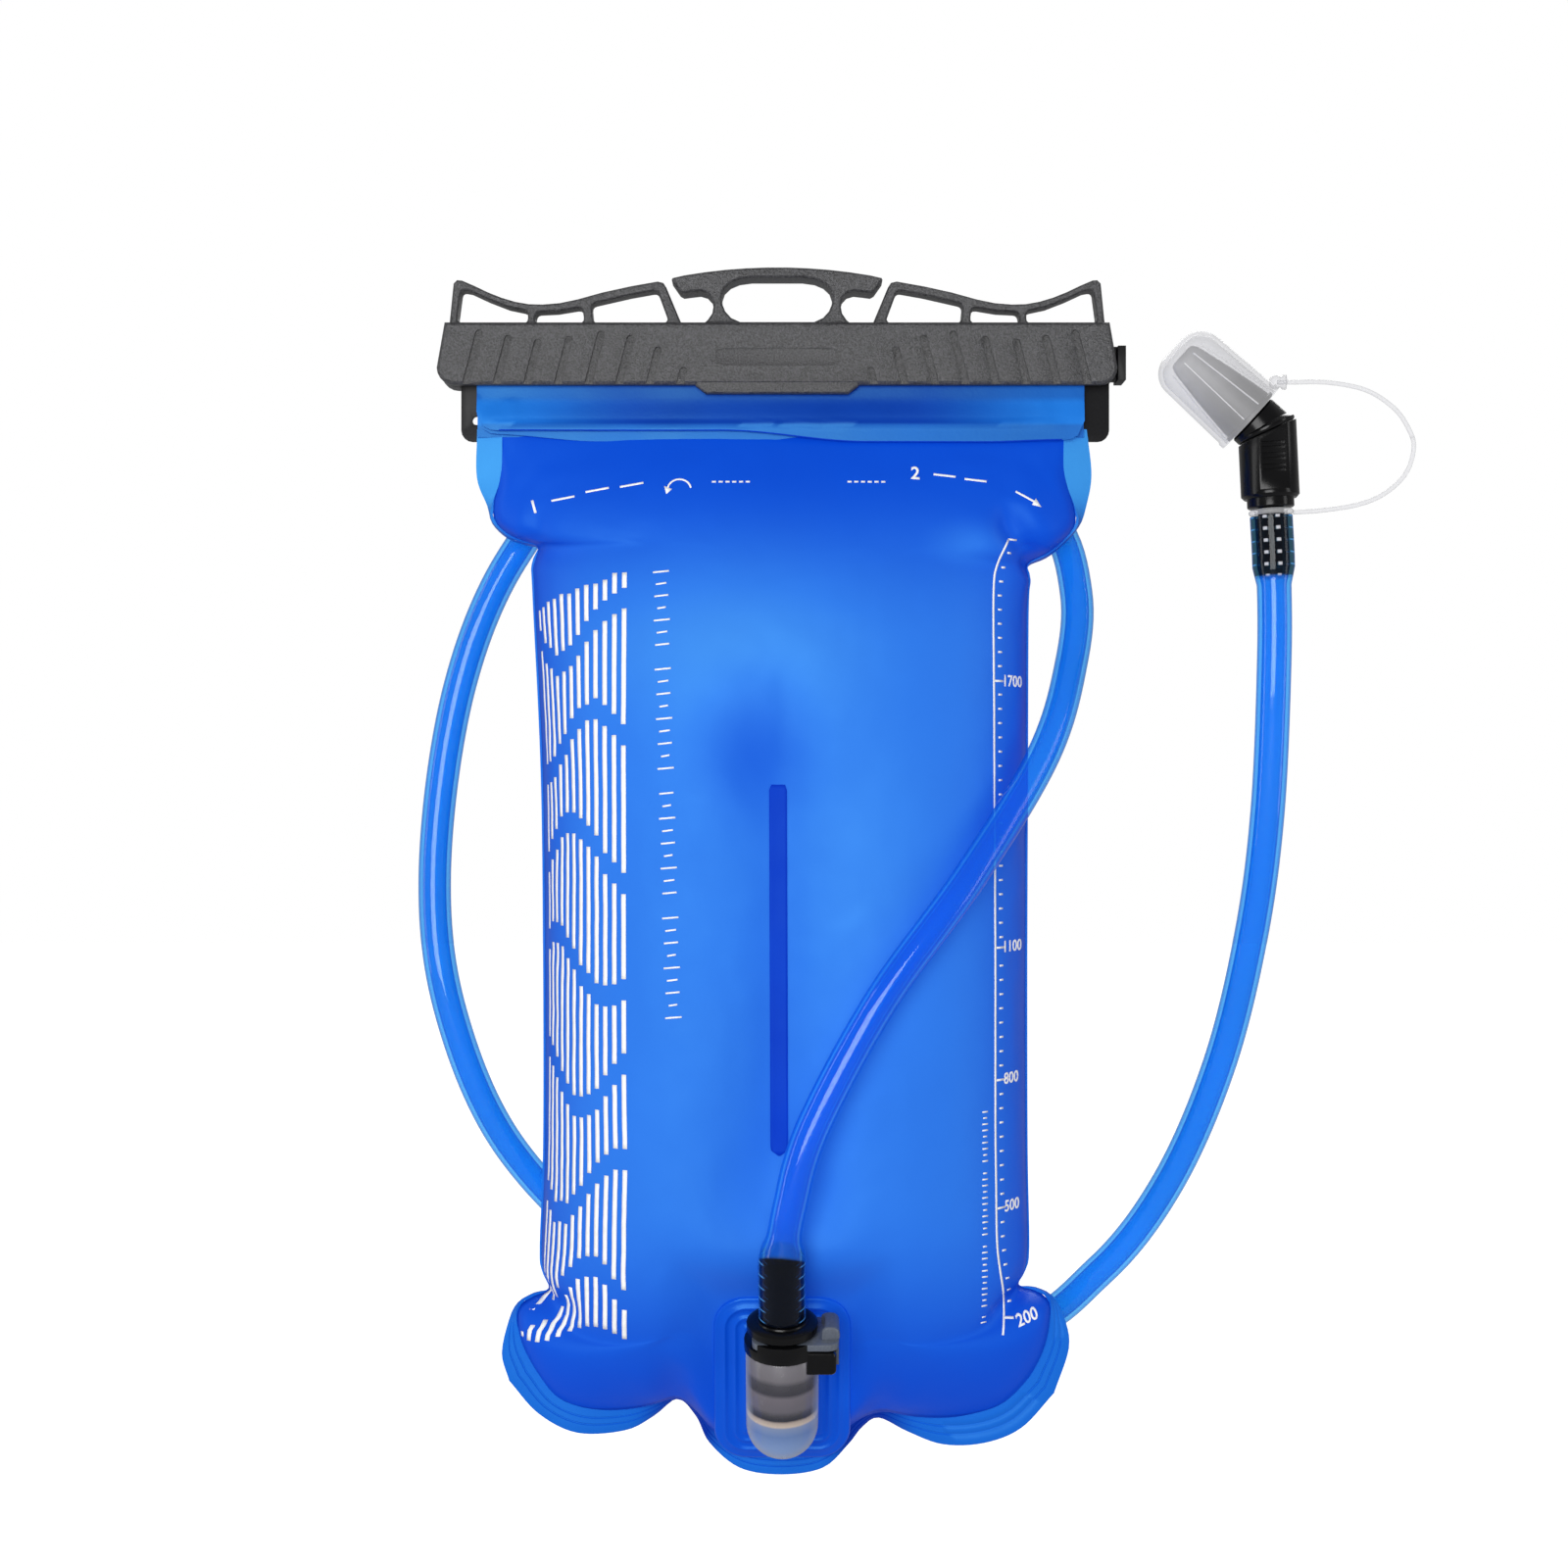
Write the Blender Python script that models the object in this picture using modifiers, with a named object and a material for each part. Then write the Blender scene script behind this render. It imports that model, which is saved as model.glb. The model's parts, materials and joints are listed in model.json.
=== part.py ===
"""Hydration bladder: a welded film pouch with a slide closure, a quick-release port, a drink hose
and an angled bite valve under a dust cap. Metres, +Z up, front towards -Y.

The origin is the hang point: the middle of the flat underside of the closure's handle arch."""
import math

import bmesh
import bpy
from mathutils import Matrix, Vector

MM = 0.001
GAP = 0.3 * MM                       # air left between pieces that touch on the real object

# Pouch: two films, welded round the edge and folded over forwards at the mouth
BAG_X = 2.2 * MM                     # the pouch hangs slightly to the right of the handle
FILM = 0.45 * MM                     # film thickness
FRONT_Y = -0.35 * MM                 # middle of the front film in the flat zones
BACK_Y = 0.40 * MM                   # middle of the back film in the flat zones
FOLD_Z = -20.5 * MM                  # centre of the mouth fold
FRONT_LIP_Z = -47.5 * MM
BACK_LIP_Z = -44.5 * MM
SHOULDER_Z = -50.0 * MM              # the water chamber starts below this height
BOTTOM_Z = -341.5 * MM
BOTTOM_LOBE = 8.0 * MM               # extra length under the port
BOTTOM_LOBE_HALF = 18.0 * MM
CORNER_RISE = 22.0 * MM
FLANGE = 5.0 * MM                    # width of the weld round the chamber
FRONT_DEPTH = 27.0 * MM
BACK_DEPTH = 18.0 * MM
CREASE_TOP_Z = -146.7 * MM           # the weld down the middle of the chamber
CREASE_BOTTOM_Z = -252.6 * MM
CREASE_HALF = 9.0 * MM
CREASE_DEPTH = 0.75                  # share of the depth that the middle weld takes away
CREASE_FADE = 22.0 * MM
HALF_WIDTHS = (                      # height and half width of the pouch outline, in mm
    (-350, 58), (-338, 70), (-325, 81), (-315, 85), (-303, 83), (-296, 71), (-285, 70.5),
    (-200, 70), (-100, 72.5), (-82, 74), (-76, 80), (-68, 86), (-60, 89.5), (-47, 88.5), (-18, 88.5))
FILM_COLUMNS = 16
BODY_ROWS = 18

# Backing bar behind the mouth
BAR_LEFT = -92.6 * MM
BAR_RIGHT = 97.3 * MM
BAR_TOP = -20.0 * MM
BAR_BOTTOM = -47.0 * MM
BAR_FRONT = 1.0 * MM
BAR_THICK = 1.6 * MM
BAR_CORNER = 3.2 * MM
BAR_HOLE = (-88.1 * MM, -40.9 * MM, 1.3 * MM)
BEAD_TOP = -19.2 * MM
BEAD_BOTTOM = -29.2 * MM
BEAD_BACK = 4.2 * MM
STOP_LEFT = 99.3 * MM
STOP_RIGHT = 101.6 * MM

# Slide closure: a C channel with a pierced top rail and a handle arch
SLIDER_MID_Y = 0.6 * MM
SLIDER_DEPTH = 12.4 * MM
SLIDER_TOP = -13.3 * MM
SLIDER_BOTTOM = -31.4 * MM
SLIDER_TOP_HALF = 96.6 * MM
SLIDER_HALF = 98.9 * MM
SLIDER_CORNER = 5.0 * MM
TAB_HALF = 23.7 * MM
TAB_DROP = 2.6 * MM
CHANNEL_FRONT = -3.0 * MM
CHANNEL_BACK = 4.6 * MM
CHANNEL_TOP = -17.5 * MM
LIP_TOP = -29.6 * MM
LIP_FRONT = 3.0 * MM
RAIL_DEPTH = 6.0 * MM
ARCH_DEPTH = 9.0 * MM
WINDOW_ROUND = 1.5 * MM
GROOVES = 8                          # grip grooves each side
GROOVE_START = 90.4 * MM             # bottom end of the outermost groove, from the middle
GROOVE_PITCH = 8.87 * MM
GROOVE_FOOT = -33.0 * MM             # below the channel, so the grooves run out of it
GROOVE_TOPS = (-15.6, -17.1, -18.2, -17.4, -15.9, -17.1, -20.5, -26.4)     # mm, outermost first
GROOVE_WIDTH = 2.3 * MM
GROOVE_DEEP = 0.7 * MM
GROOVE_LEAN = math.radians(14.5)
PANEL_HALF = 18.0 * MM               # plain recess in the middle of the front
PANEL_Z = -23.4 * MM
PANEL_RADIUS = 2.5 * MM

# Quick-release port. Its frame: +Z along the socket, -Y out of the pad
PORT_TILT = math.radians(16.0)
PORT_POS = (1.5 * MM, -22.1 * MM, -323.9 * MM)
PAD_Y = 10.5 * MM                    # outer face of the pad's middle panel
PAD_BACK = 12.3 * MM
PAD_STEP = 0.4 * MM
PAD_STEP_WIDTH = 2.5 * MM
PAD_HALF = 19.7 * MM
PAD_LOW = -23.5 * MM
PAD_HIGH = 28.5 * MM
PAD_CORNER = 7.0 * MM
SOCKET_R = 10.25 * MM
SOCKET_END = -4.2 * MM               # centre of the round end
SOCKET_TOP = 19.3 * MM
BORE_R = 6.9 * MM
BORE_FLOOR = 1.4 * MM
SEAT_R = 4.4 * MM
CHAMBER_TOP = -0.4 * MM
CHAMBER_R = 5.9 * MM
CHAMBER_FLOOR = -10.5 * MM
WATER_HOLE_Z = -6.5 * MM
WATER_HOLE_R = 3.0 * MM
HOUSING_R = 10.7 * MM
HOUSING_TOP = 22.3 * MM
BUTTON_LOW = 22.6 * MM
BUTTON_HIGH = 24.5 * MM
BUTTON_TRAVEL = 1.8 * MM
LATCH_HALF = 7.8 * MM                # half the latch plate's width, between the housing's walls
WALL_LEFT = 14.0 * MM                # the button's side wall
WALL_RIGHT = 15.8 * MM
LATCH_SPRING = (11.0 * MM, 13.7 * MM, 18.0 * MM)      # left end, right end and height of its axis

# Hose and its ends
HOSE_R = 4.85 * MM
HOSE_WALL = 1.4 * MM
HOSE_PLUG_R = 6.6 * MM
HOSE_VALVE_R = 6.0 * MM
HOSE_STEP = 16.0 * MM
HOSE_SIDES = 8
HOSE_PATH = (                        # centre line, in mm, from the plug to the bite valve
    (1.5, -30.15, -295.83), (1.5, -35.1, -278.6), (3.6, -37.6, -264), (10, -38.3, -242),
    (29, -36.5, -207), (54, -28, -173.5), (77, -8, -139), (87, 8, -112), (89.5, 15.5, -90),
    (83, 22, -68), (60, 25, -52), (1, 26, -46.5), (-55, 25, -54), (-80, 21.5, -79),
    (-96, 18, -120), (-103, 18, -174), (-98, 18.5, -217), (-80, 24, -259), (-45, 33, -293),
    (11, 35, -313.7), (70, 30.5, -315), (98, 24.5, -295), (117, 16, -267), (130.2, 5, -230.5),
    (137.8, -4, -191.6), (140.9, -12, -154.9), (141.5, -18, -111), (141.3, -18, -85.7),
    (140.6, -18, -71.3))
COLLAR_R = 10.0 * MM
COLLAR_LOW = 25.0 * MM
COLLAR_HIGH = 28.4 * MM
PLUG_R = 6.6 * MM
PLUG_TOP = 47.0 * MM
PROBE_R = 3.9 * MM
PROBE_END = -2.2 * MM
POPPET_TRAVEL = 2.2 * MM

# Bite valve. Body frame: +Z up its bore. Mitre frame: +Z along the swivel axis
VALVE_POS = (140.5 * MM, -18.0 * MM, -68.9 * MM)     # in front of the closure, so the cap clears it
VALVE_LEAN = math.radians(-2.7)
VALVE_R = 8.2 * MM
VALVE_FLAT = 7.0 * MM
MITRE_HEIGHT = 21.4 * MM             # along the body's axis
MITRE_LEAN = math.radians(-25.3)
HEAD_LEAN = math.radians(-47.9)
HEAD_R = 7.7 * MM
DISC_R = 8.7 * MM
DISC_THICK = 2.2 * MM
HEAD_LENGTH = 5.9 * MM               # mitre centre to the head's end face
CAP_R = 11.0 * MM
CAP_WALL = 1.2 * MM
CAP_LENGTH = 31.0 * MM
LANYARD_R = 0.65 * MM
LANYARD_PATH = (                     # x and z in mm, in the valve's plane, from the ring to the cap
    (146.9, -70.1), (154.7, -69.6), (165.4, -67.9), (173.1, -64.6), (179, -58.9), (181.2, -51.7),
    (179.5, -44.9), (175.1, -39.5), (168.1, -35.2), (156.6, -31.6), (143.6, -29.5))

COLOURS = {
    "film": (0.02, 0.13, 0.75), "pad": (0.02, 0.16, 0.80), "bar": (0.012, 0.012, 0.014),
    "slider": (0.05, 0.053, 0.058), "clear": (0.75, 0.8, 0.88), "black": (0.01, 0.01, 0.012),
    "grey": (0.2, 0.21, 0.23), "steel": (0.6, 0.6, 0.62), "seal": (0.72, 0.66, 0.52),
    "hose": (0.03, 0.22, 0.85), "silicone": (0.35, 0.35, 0.38), "cap": (0.8, 0.8, 0.82)}
ROUGHNESS = {
    "film": 0.35, "pad": 0.3, "bar": 0.4, "slider": 0.6, "clear": 0.25, "black": 0.3, "grey": 0.4,
    "steel": 0.25, "seal": 0.6, "hose": 0.15, "silicone": 0.45, "cap": 0.12}


# ---------------------------------------------------------------- scene and shape helpers

def clear_scene():
    for old in list(bpy.data.objects):
        bpy.data.objects.remove(old, do_unlink=True)


def new_collection(name):
    collection = bpy.data.collections.new(name)
    bpy.context.scene.collection.children.link(collection)
    return collection


def material_for(name, kind):
    material = bpy.data.materials.new(name)
    material.use_nodes = True
    shader = material.node_tree.nodes["Principled BSDF"]
    shader.inputs["Base Color"].default_value = (*COLOURS[kind], 1.0)
    shader.inputs["Roughness"].default_value = ROUGHNESS[kind]
    shader.inputs["Metallic"].default_value = 1.0 if kind == "steel" else 0.0
    material.diffuse_color = (*COLOURS[kind], 1.0)
    return material


def add_piece(obj, kind, parent=None):
    """Make obj a node of the part: its own material, and its place in the parts collection."""
    parts.objects.link(obj)
    obj.data.materials.clear()
    obj.data.materials.append(material_for(obj.name, kind))
    obj.parent = parent
    return obj


def add_guide(obj, parent=None):
    """Make obj a cutter, or a shape that a Boolean joins to a piece."""
    cutters.objects.link(obj)
    obj.hide_render = True
    obj.display_type = "WIRE"
    obj.parent = parent
    return obj


def frame_at(name, location, lean_x=0.0, lean_y=0.0):
    empty = bpy.data.objects.new(name, None)
    empty.location = location
    empty.rotation_euler = (lean_x, lean_y, 0.0)
    empty.empty_display_size = 10 * MM
    parts.objects.link(empty)
    return empty


def mesh_object(name, build):
    """A new object whose mesh the function build fills in."""
    mesh = bpy.data.meshes.new(name)
    bm = bmesh.new()
    build(bm)
    bm.to_mesh(mesh)
    bm.free()
    return bpy.data.objects.new(name, mesh)


def box(name, low, high):
    size = Vector(high) - Vector(low)
    centre = (Vector(high) + Vector(low)) / 2

    def build(bm):
        place = Matrix.Translation(centre) @ Matrix.Diagonal((*size, 1.0))
        bmesh.ops.create_cube(bm, size=1.0, matrix=place)

    return mesh_object(name, build)


def rod(name, radius, start, end, axis="Z", sides=20):
    """A cylinder along one axis of its frame; start and end are distances along it."""
    turn = {"X": Matrix.Rotation(math.pi / 2, 4, "Y"), "Y": Matrix.Rotation(-math.pi / 2, 4, "X"),
            "Z": Matrix.Identity(4)}[axis]

    def build(bm):
        place = turn @ Matrix.Translation((0, 0, (start + end) / 2))
        bmesh.ops.create_cone(bm, cap_ends=True, segments=sides, radius1=radius, radius2=radius,
                              depth=end - start, matrix=place)

    return mesh_object(name, build)


def turned(name, profile, steps=24, closed=True):
    """A profile of (radius, height) pairs, outer side first and top to bottom, turned about Z."""
    mesh = bpy.data.meshes.new(name)
    points = [(radius, 0.0, height) for radius, height in profile]
    edges = [(i, i + 1) for i in range(len(points) - 1)]
    if closed:
        edges.append((len(points) - 1, 0))
    mesh.from_pydata(points, edges, [])
    obj = bpy.data.objects.new(name, mesh)
    screw = obj.modifiers.new("turn", "SCREW")
    screw.axis = "Z"
    screw.angle = 2 * math.pi
    screw.steps = steps
    screw.render_steps = steps
    screw.use_merge_vertices = True
    screw.merge_threshold = 0.00001
    screw.use_smooth_shade = True
    return obj


def ring(name, major, minor, height, steps=18, sides=6):
    """A torus about Z, as a turned circle."""
    circle = [(major + minor * math.cos(-2 * math.pi * i / sides),
               height + minor * math.sin(-2 * math.pi * i / sides)) for i in range(sides)]
    return turned(name, circle, steps)


def arc(cx, cy, radius, start, end, count):
    """Points on an arc, from start to end in degrees, both included."""
    turns = [math.radians(start + (end - start) * i / (count - 1)) for i in range(count)]
    return [(cx + radius * math.cos(t), cy + radius * math.sin(t)) for t in turns]


def softened(points, radius, count=4):
    """The same closed outline with a curve of about this radius in place of each corner."""
    loop = []
    for i, point in enumerate(points):
        corner = Vector(point)
        before, after = Vector(points[i - 1]) - corner, Vector(points[(i + 1) % len(points)]) - corner
        turn = math.pi - before.angle(after)
        back = min(radius * math.tan(turn / 2), 0.45 * before.length, 0.45 * after.length)
        start, end = corner + back * before.normalized(), corner + back * after.normalized()
        for k in range(count):
            t = k / (count - 1)
            loop.append(tuple((1 - t) ** 2 * start + 2 * t * (1 - t) * corner + t * t * end))
    return loop


def rounded_rectangle(left, right, low, high, radius, count=5):
    return (arc(right - radius, high - radius, radius, 90, 0, count)
            + arc(right - radius, low + radius, radius, 0, -90, count)
            + arc(left + radius, low + radius, radius, -90, -180, count)
            + arc(left + radius, high - radius, radius, 180, 90, count))


def to_mesh(curve_object):
    """Turn a curve object into a mesh object of the same name and place, its caps welded on."""
    bpy.context.scene.collection.objects.link(curve_object)
    graph = bpy.context.evaluated_depsgraph_get()
    mesh = bpy.data.meshes.new_from_object(curve_object.evaluated_get(graph))
    bm = bmesh.new()
    bm.from_mesh(mesh)
    bmesh.ops.remove_doubles(bm, verts=bm.verts, dist=0.00001)
    bm.to_mesh(mesh)
    bm.free()
    name = curve_object.name
    place = curve_object.matrix_world.copy()
    bpy.data.objects.remove(curve_object, do_unlink=True)
    obj = bpy.data.objects.new(name, mesh)
    obj.matrix_world = place
    return obj


def outline(name, points, thickness, holes=(), edge=0.0, plane="XZ", offset=0.0):
    """A flat outline with holes, thickened about its plane and moved by offset along its normal.

    Points are (x, z) pairs in plane XZ, whose normal is Y, or (y, z) pairs in plane YZ."""
    curve = bpy.data.curves.new(name, "CURVE")
    curve.dimensions = "2D"
    curve.fill_mode = "BOTH"
    curve.extrude = thickness / 2 - edge
    curve.bevel_depth = edge
    curve.bevel_resolution = 0
    curve.offset = -edge
    for loop in (points, *holes):
        spline = curve.splines.new("POLY")
        spline.points.add(len(loop) - 1)
        for point, (u, v) in zip(spline.points, loop):
            point.co = (u, v, 0.0, 1.0)
        spline.use_cyclic_u = True
    obj = bpy.data.objects.new(name, curve)
    if plane == "XZ":
        obj.rotation_euler = (math.pi / 2, 0.0, 0.0)
        obj.location = (0.0, offset, 0.0)
    else:
        obj.rotation_euler = (math.pi / 2, 0.0, math.pi / 2)
        obj.location = (offset, 0.0, 0.0)
    made = to_mesh(obj)
    made.data.transform(made.matrix_world)
    made.matrix_world = Matrix.Identity(4)
    bm = bmesh.new()
    bm.from_mesh(made.data)
    bmesh.ops.recalc_face_normals(bm, faces=bm.faces)
    bm.to_mesh(made.data)
    bm.free()
    return made


def boolean(obj, other, operation):
    modifier = obj.modifiers.new(other.name, "BOOLEAN")
    modifier.operation = operation
    modifier.solver = "EXACT"
    modifier.object = other


def cut(obj, *others):
    for other in others:
        boolean(obj, other, "DIFFERENCE")


def join(obj, *others):
    for other in others:
        boolean(obj, other, "UNION")


def wire(name, points, radius, cyclic=False, resolution=2):
    """A round wire through points, as a mesh with closed ends."""
    curve = bpy.data.curves.new(name, "CURVE")
    curve.dimensions = "3D"
    curve.bevel_depth = radius
    curve.bevel_resolution = resolution
    curve.use_fill_caps = not cyclic
    spline = curve.splines.new("POLY")
    spline.points.add(len(points) - 1)
    for point, place in zip(spline.points, points):
        point.co = (*place, 1.0)
    spline.use_cyclic_u = cyclic
    return to_mesh(bpy.data.objects.new(name, curve))


def smooth_path(points, step):
    """Points every step or so along a smooth line through points (Catmull-Rom)."""
    points = [Vector(p) for p in points]
    ends = [2 * points[0] - points[1], *points, 2 * points[-1] - points[-2]]
    line = []
    for a, b, c, d in zip(ends, ends[1:], ends[2:], ends[3:]):
        count = max(1, round((c - b).length / step))
        for i in range(count):
            t = i / count
            line.append(0.5 * (2 * b + (c - a) * t + (2 * a - 5 * b + 4 * c - d) * t ** 2
                               + (3 * b - a - 3 * c + d) * t ** 3))
    line.append(points[-1])
    return line


def coil_points(radius, start, end, turns, per_turn=10):
    """Points of a coil about Z from start to end."""
    count = int(turns * per_turn)
    points = []
    for i in range(count + 1):
        angle = 2 * math.pi * i / per_turn
        points.append((radius * math.cos(angle), radius * math.sin(angle),
                       start + (end - start) * i / count))
    return points


def smoothstep(low, high, value):
    t = min(max((value - low) / (high - low), 0.0), 1.0)
    return t * t * (3 - 2 * t)


# ---------------------------------------------------------------- pouch

def half_width(z):
    """Half width of the pouch outline at a height, read off HALF_WIDTHS."""
    height = z / MM
    for (z0, w0), (z1, w1) in zip(HALF_WIDTHS, HALF_WIDTHS[1:]):
        if height <= z1:
            return (w0 + (w1 - w0) * max(height - z0, 0.0) / (z1 - z0)) * MM
    return HALF_WIDTHS[-1][1] * MM


def bottom_edge(u):
    """Height of the pouch's lower edge at a share u of its half width, from -1 to 1."""
    lobe = BOTTOM_LOBE * math.exp(-(u * 70 * MM / BOTTOM_LOBE_HALF) ** 2)
    return BOTTOM_Z - lobe + CORNER_RISE * abs(u) ** 8


def bulge(x, z, depth):
    """How far a film stands off the seam plane at a point of the chamber."""
    run = (SHOULDER_Z - z) / (SHOULDER_Z - BOTTOM_Z)
    if not 0.0 < run < 1.0:
        return 0.0
    across = min(abs(x) / (half_width(z) - FLANGE), 1.0)
    height = depth * math.sin(math.pi * run) ** 0.6 * (1 - across ** 2) ** 0.75
    inside = (smoothstep(CREASE_BOTTOM_Z - CREASE_FADE, CREASE_BOTTOM_Z, z)
              * (1 - smoothstep(CREASE_TOP_Z, CREASE_TOP_Z + CREASE_FADE, z)))
    return height * (1 - CREASE_DEPTH * inside * math.exp(-(x / CREASE_HALF) ** 2))


def pad_plane(z):
    """How far the plane behind the port pad is in front of the seam plane at a height."""
    behind = PAD_BACK + GAP + FILM / 2
    tilt_sin = math.sin(PORT_TILT)
    tilt_cos = math.cos(PORT_TILT)
    along = (z - PORT_POS[2] - behind * tilt_sin) / tilt_cos
    return -(PORT_POS[1] + behind * tilt_cos - along * tilt_sin)


def film_rows(flat_y, fold_y, lip_z):
    """The film above the chamber: (y, z) up to the fold, over it and down to the lip."""
    radius = abs(flat_y - fold_y)
    rows = [(flat_y, -40 * MM), (flat_y, -30 * MM), (flat_y, FOLD_Z)]
    for angle in (45, 90, 135):
        turn = math.radians(angle)
        rows.append((fold_y + radius * math.cos(turn), FOLD_Z + radius * math.sin(turn)))
    flap_y = fold_y - radius
    rows += [(flap_y, FOLD_Z), (flap_y, -34 * MM), (flap_y, lip_z)]
    return rows


def film(name, side, flat_y, lip_z, depth):
    """One film of the pouch; side is -1 for the front film and 1 for the back film."""
    fold_y = FRONT_Y - FILM / 2 - GAP / 2
    top_rows = film_rows(flat_y, fold_y, lip_z)
    rows = BODY_ROWS + len(top_rows)

    def place(u, row):
        if row >= BODY_ROWS:
            y, z = top_rows[row - BODY_ROWS]
            return (BAG_X + u * half_width(z), y, z)
        foot = bottom_edge(u)
        z = foot + (SHOULDER_Z - foot) * row / (BODY_ROWS - 1)
        x = u * half_width(z)
        out = bulge(x, z, depth)
        if side < 0:
            out = min(out, max(pad_plane(z) + flat_y, 0.0))
        return (BAG_X + x, flat_y + side * out, z)

    def build(bm):
        bmesh.ops.create_grid(bm, x_segments=FILM_COLUMNS, y_segments=rows - 1, size=1.0)
        for vert in bm.verts:
            row = round((vert.co.y + 1) / 2 * (rows - 1))
            vert.co = place(vert.co.x, row)

    obj = mesh_object(name, build)
    shell = obj.modifiers.new("thickness", "SOLIDIFY")
    shell.thickness = FILM
    shell.offset = 0.0
    return obj


def build_pouch(port):
    front = add_piece(film("front_film", -1, FRONT_Y, FRONT_LIP_Z, FRONT_DEPTH), "film")
    hole = rod("film_water_hole", WATER_HOLE_R + GAP, 5 * MM, 19 * MM, "Y")
    hole.location.z = WATER_HOLE_Z
    cut(front, add_guide(hole, port))
    add_piece(film("back_film", 1, BACK_Y, BACK_LIP_Z, BACK_DEPTH), "film")


# ---------------------------------------------------------------- backing bar and slide closure

def build_backing_bar():
    plate = outline("backing_bar", rounded_rectangle(BAR_LEFT, BAR_RIGHT, BAR_BOTTOM, BAR_TOP, BAR_CORNER),
                    BAR_THICK, [arc(BAR_HOLE[0], BAR_HOLE[1], BAR_HOLE[2], 0, 330, 12)],
                    offset=BAR_FRONT + BAR_THICK / 2)
    bead = box("bar_bead", (BAR_LEFT + 1 * MM, BAR_FRONT + 0.2 * MM, BEAD_BOTTOM),
               (STOP_RIGHT - 0.6 * MM, BEAD_BACK, BEAD_TOP))
    stop = box("bar_stop", (STOP_LEFT, -3.2 * MM, BEAD_BOTTOM - 0.5 * MM),
               (STOP_RIGHT, 6.2 * MM, BEAD_TOP - 0.5 * MM))
    join(plate, add_guide(bead), add_guide(stop))
    add_piece(plate, "bar")


def slider_body():
    """The channel before it is cut: a long bar with sloping ends and round lower corners."""
    corner = arc(SLIDER_HALF - SLIDER_CORNER, SLIDER_BOTTOM + SLIDER_CORNER, SLIDER_CORNER, 0, -90, 6)
    points = mirrored([(SLIDER_TOP_HALF, SLIDER_TOP)] + corner)
    return outline("closure_slider", points, SLIDER_DEPTH, edge=0.9 * MM, offset=SLIDER_MID_Y)


def thumb_tab():
    """The tab under the middle of the channel, a touch thinner than the channel."""
    low = SLIDER_BOTTOM - TAB_DROP
    points = mirrored([(TAB_HALF, SLIDER_BOTTOM + 4 * MM), (TAB_HALF, SLIDER_BOTTOM - 0.3 * MM),
                       (TAB_HALF - 3 * MM, low)])
    return outline("thumb_tab", points, SLIDER_DEPTH - 0.6 * MM, edge=0.5 * MM, offset=SLIDER_MID_Y)


def mirrored(points):
    """A closed symmetric outline from the points right of x = 0."""
    return points + [(-x, z) for x, z in reversed(points)]


def rail_outline(side):
    """One wavy top rail with its three windows; side is -1 or 1."""
    low = SLIDER_TOP / MM - 1
    rim = [(95.7, low), (94.4, -1.4), (93.4, -0.4), (92, -0.5), (88.5, -2), (84.5, -3.9), (80.5, -5.5),
           (76.5, -6.7), (72.5, -7.4), (68.5, -7.5), (63.5, -7.1), (58.2, -6), (51, -4), (42.8, -2.2),
           (34.9, -0.8), (33.2, -1.2), (32.3, -2.6), (27.4, low)]
    windows = [
        [(92.2, -3.2), (89.4, -3.7), (84.2, -6.1), (78.5, -8.3), (72.8, -9.5), (72.6, -12.9), (93.5, -12.9)],
        [(70.4, -9.8), (64.1, -9.5), (56.9, -8.3), (56.1, -12.9), (70.8, -12.9)],
        [(54.2, -7.4), (42.8, -4.8), (34.9, -3.4), (31.4, -12.9), (53.6, -12.9)]]

    def scaled(points):
        return [(side * x * MM, z * MM) for x, z in points]

    return outline("rail_left" if side < 0 else "rail_right", scaled(rim), RAIL_DEPTH,
                   [softened(scaled(w), WINDOW_ROUND) for w in windows], edge=0.5 * MM,
                   offset=SLIDER_MID_Y)


def handle_arch():
    """The handle: a shallow bow with hooked ends on two waisted struts. Its flat underside is z = 0."""
    low = SLIDER_TOP / MM - 1
    radius = 158.6
    bow = [(x, 3.0 - radius + math.sqrt(radius ** 2 - x ** 2)) for x in (3, 9, 15, 21, 27)]
    hook = [(30.4, -0.1), (30.7, -0.6), (28.4, -3.9), (27.3, -4.5), (25, -4.2), (22.4, -3.9), (20.4, -4.5)]
    strut = [(19, -6), (18.5, -8.2), (18.9, -10.4), (20.2, -12.3), (22.4, low)]
    rim = [(x * MM, z * MM) for x, z in bow + hook + strut]
    inner = [(7.4, 0.0), (11, -0.5), (13.6, -1.6), (15.4, -3.3), (16.1, -5.4), (16, -7.6), (15.1, -9.8),
             (13.4, -11.7), (10.8, -12.9)]
    window = [(x * MM, z * MM) for x, z in inner]
    return outline("handle_arch", mirrored(rim), ARCH_DEPTH, [mirrored(window)], edge=0.6 * MM,
                   offset=SLIDER_MID_Y)


def grip_groove(index, side):
    """A leaning slot with a round top, cut in the front face and out through the lower edge."""
    foot_x = GROOVE_START - GROOVE_PITCH * index
    half = GROOVE_WIDTH / 2
    length = (GROOVE_TOPS[index] * MM - GROOVE_FOOT) / math.cos(GROOVE_LEAN) - GROOVE_WIDTH
    slot = arc(0, length, half, 0, 180, 5) + arc(0, 0, half, 180, 360, 5)
    groove = outline(f"groove_{'lr'[side > 0]}{index}", slot, 2 * GROOVE_DEEP)
    groove.location = (side * foot_x, SLIDER_MID_Y - SLIDER_DEPTH / 2, GROOVE_FOOT + half)
    groove.rotation_euler.y = -side * GROOVE_LEAN
    return groove


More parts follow.
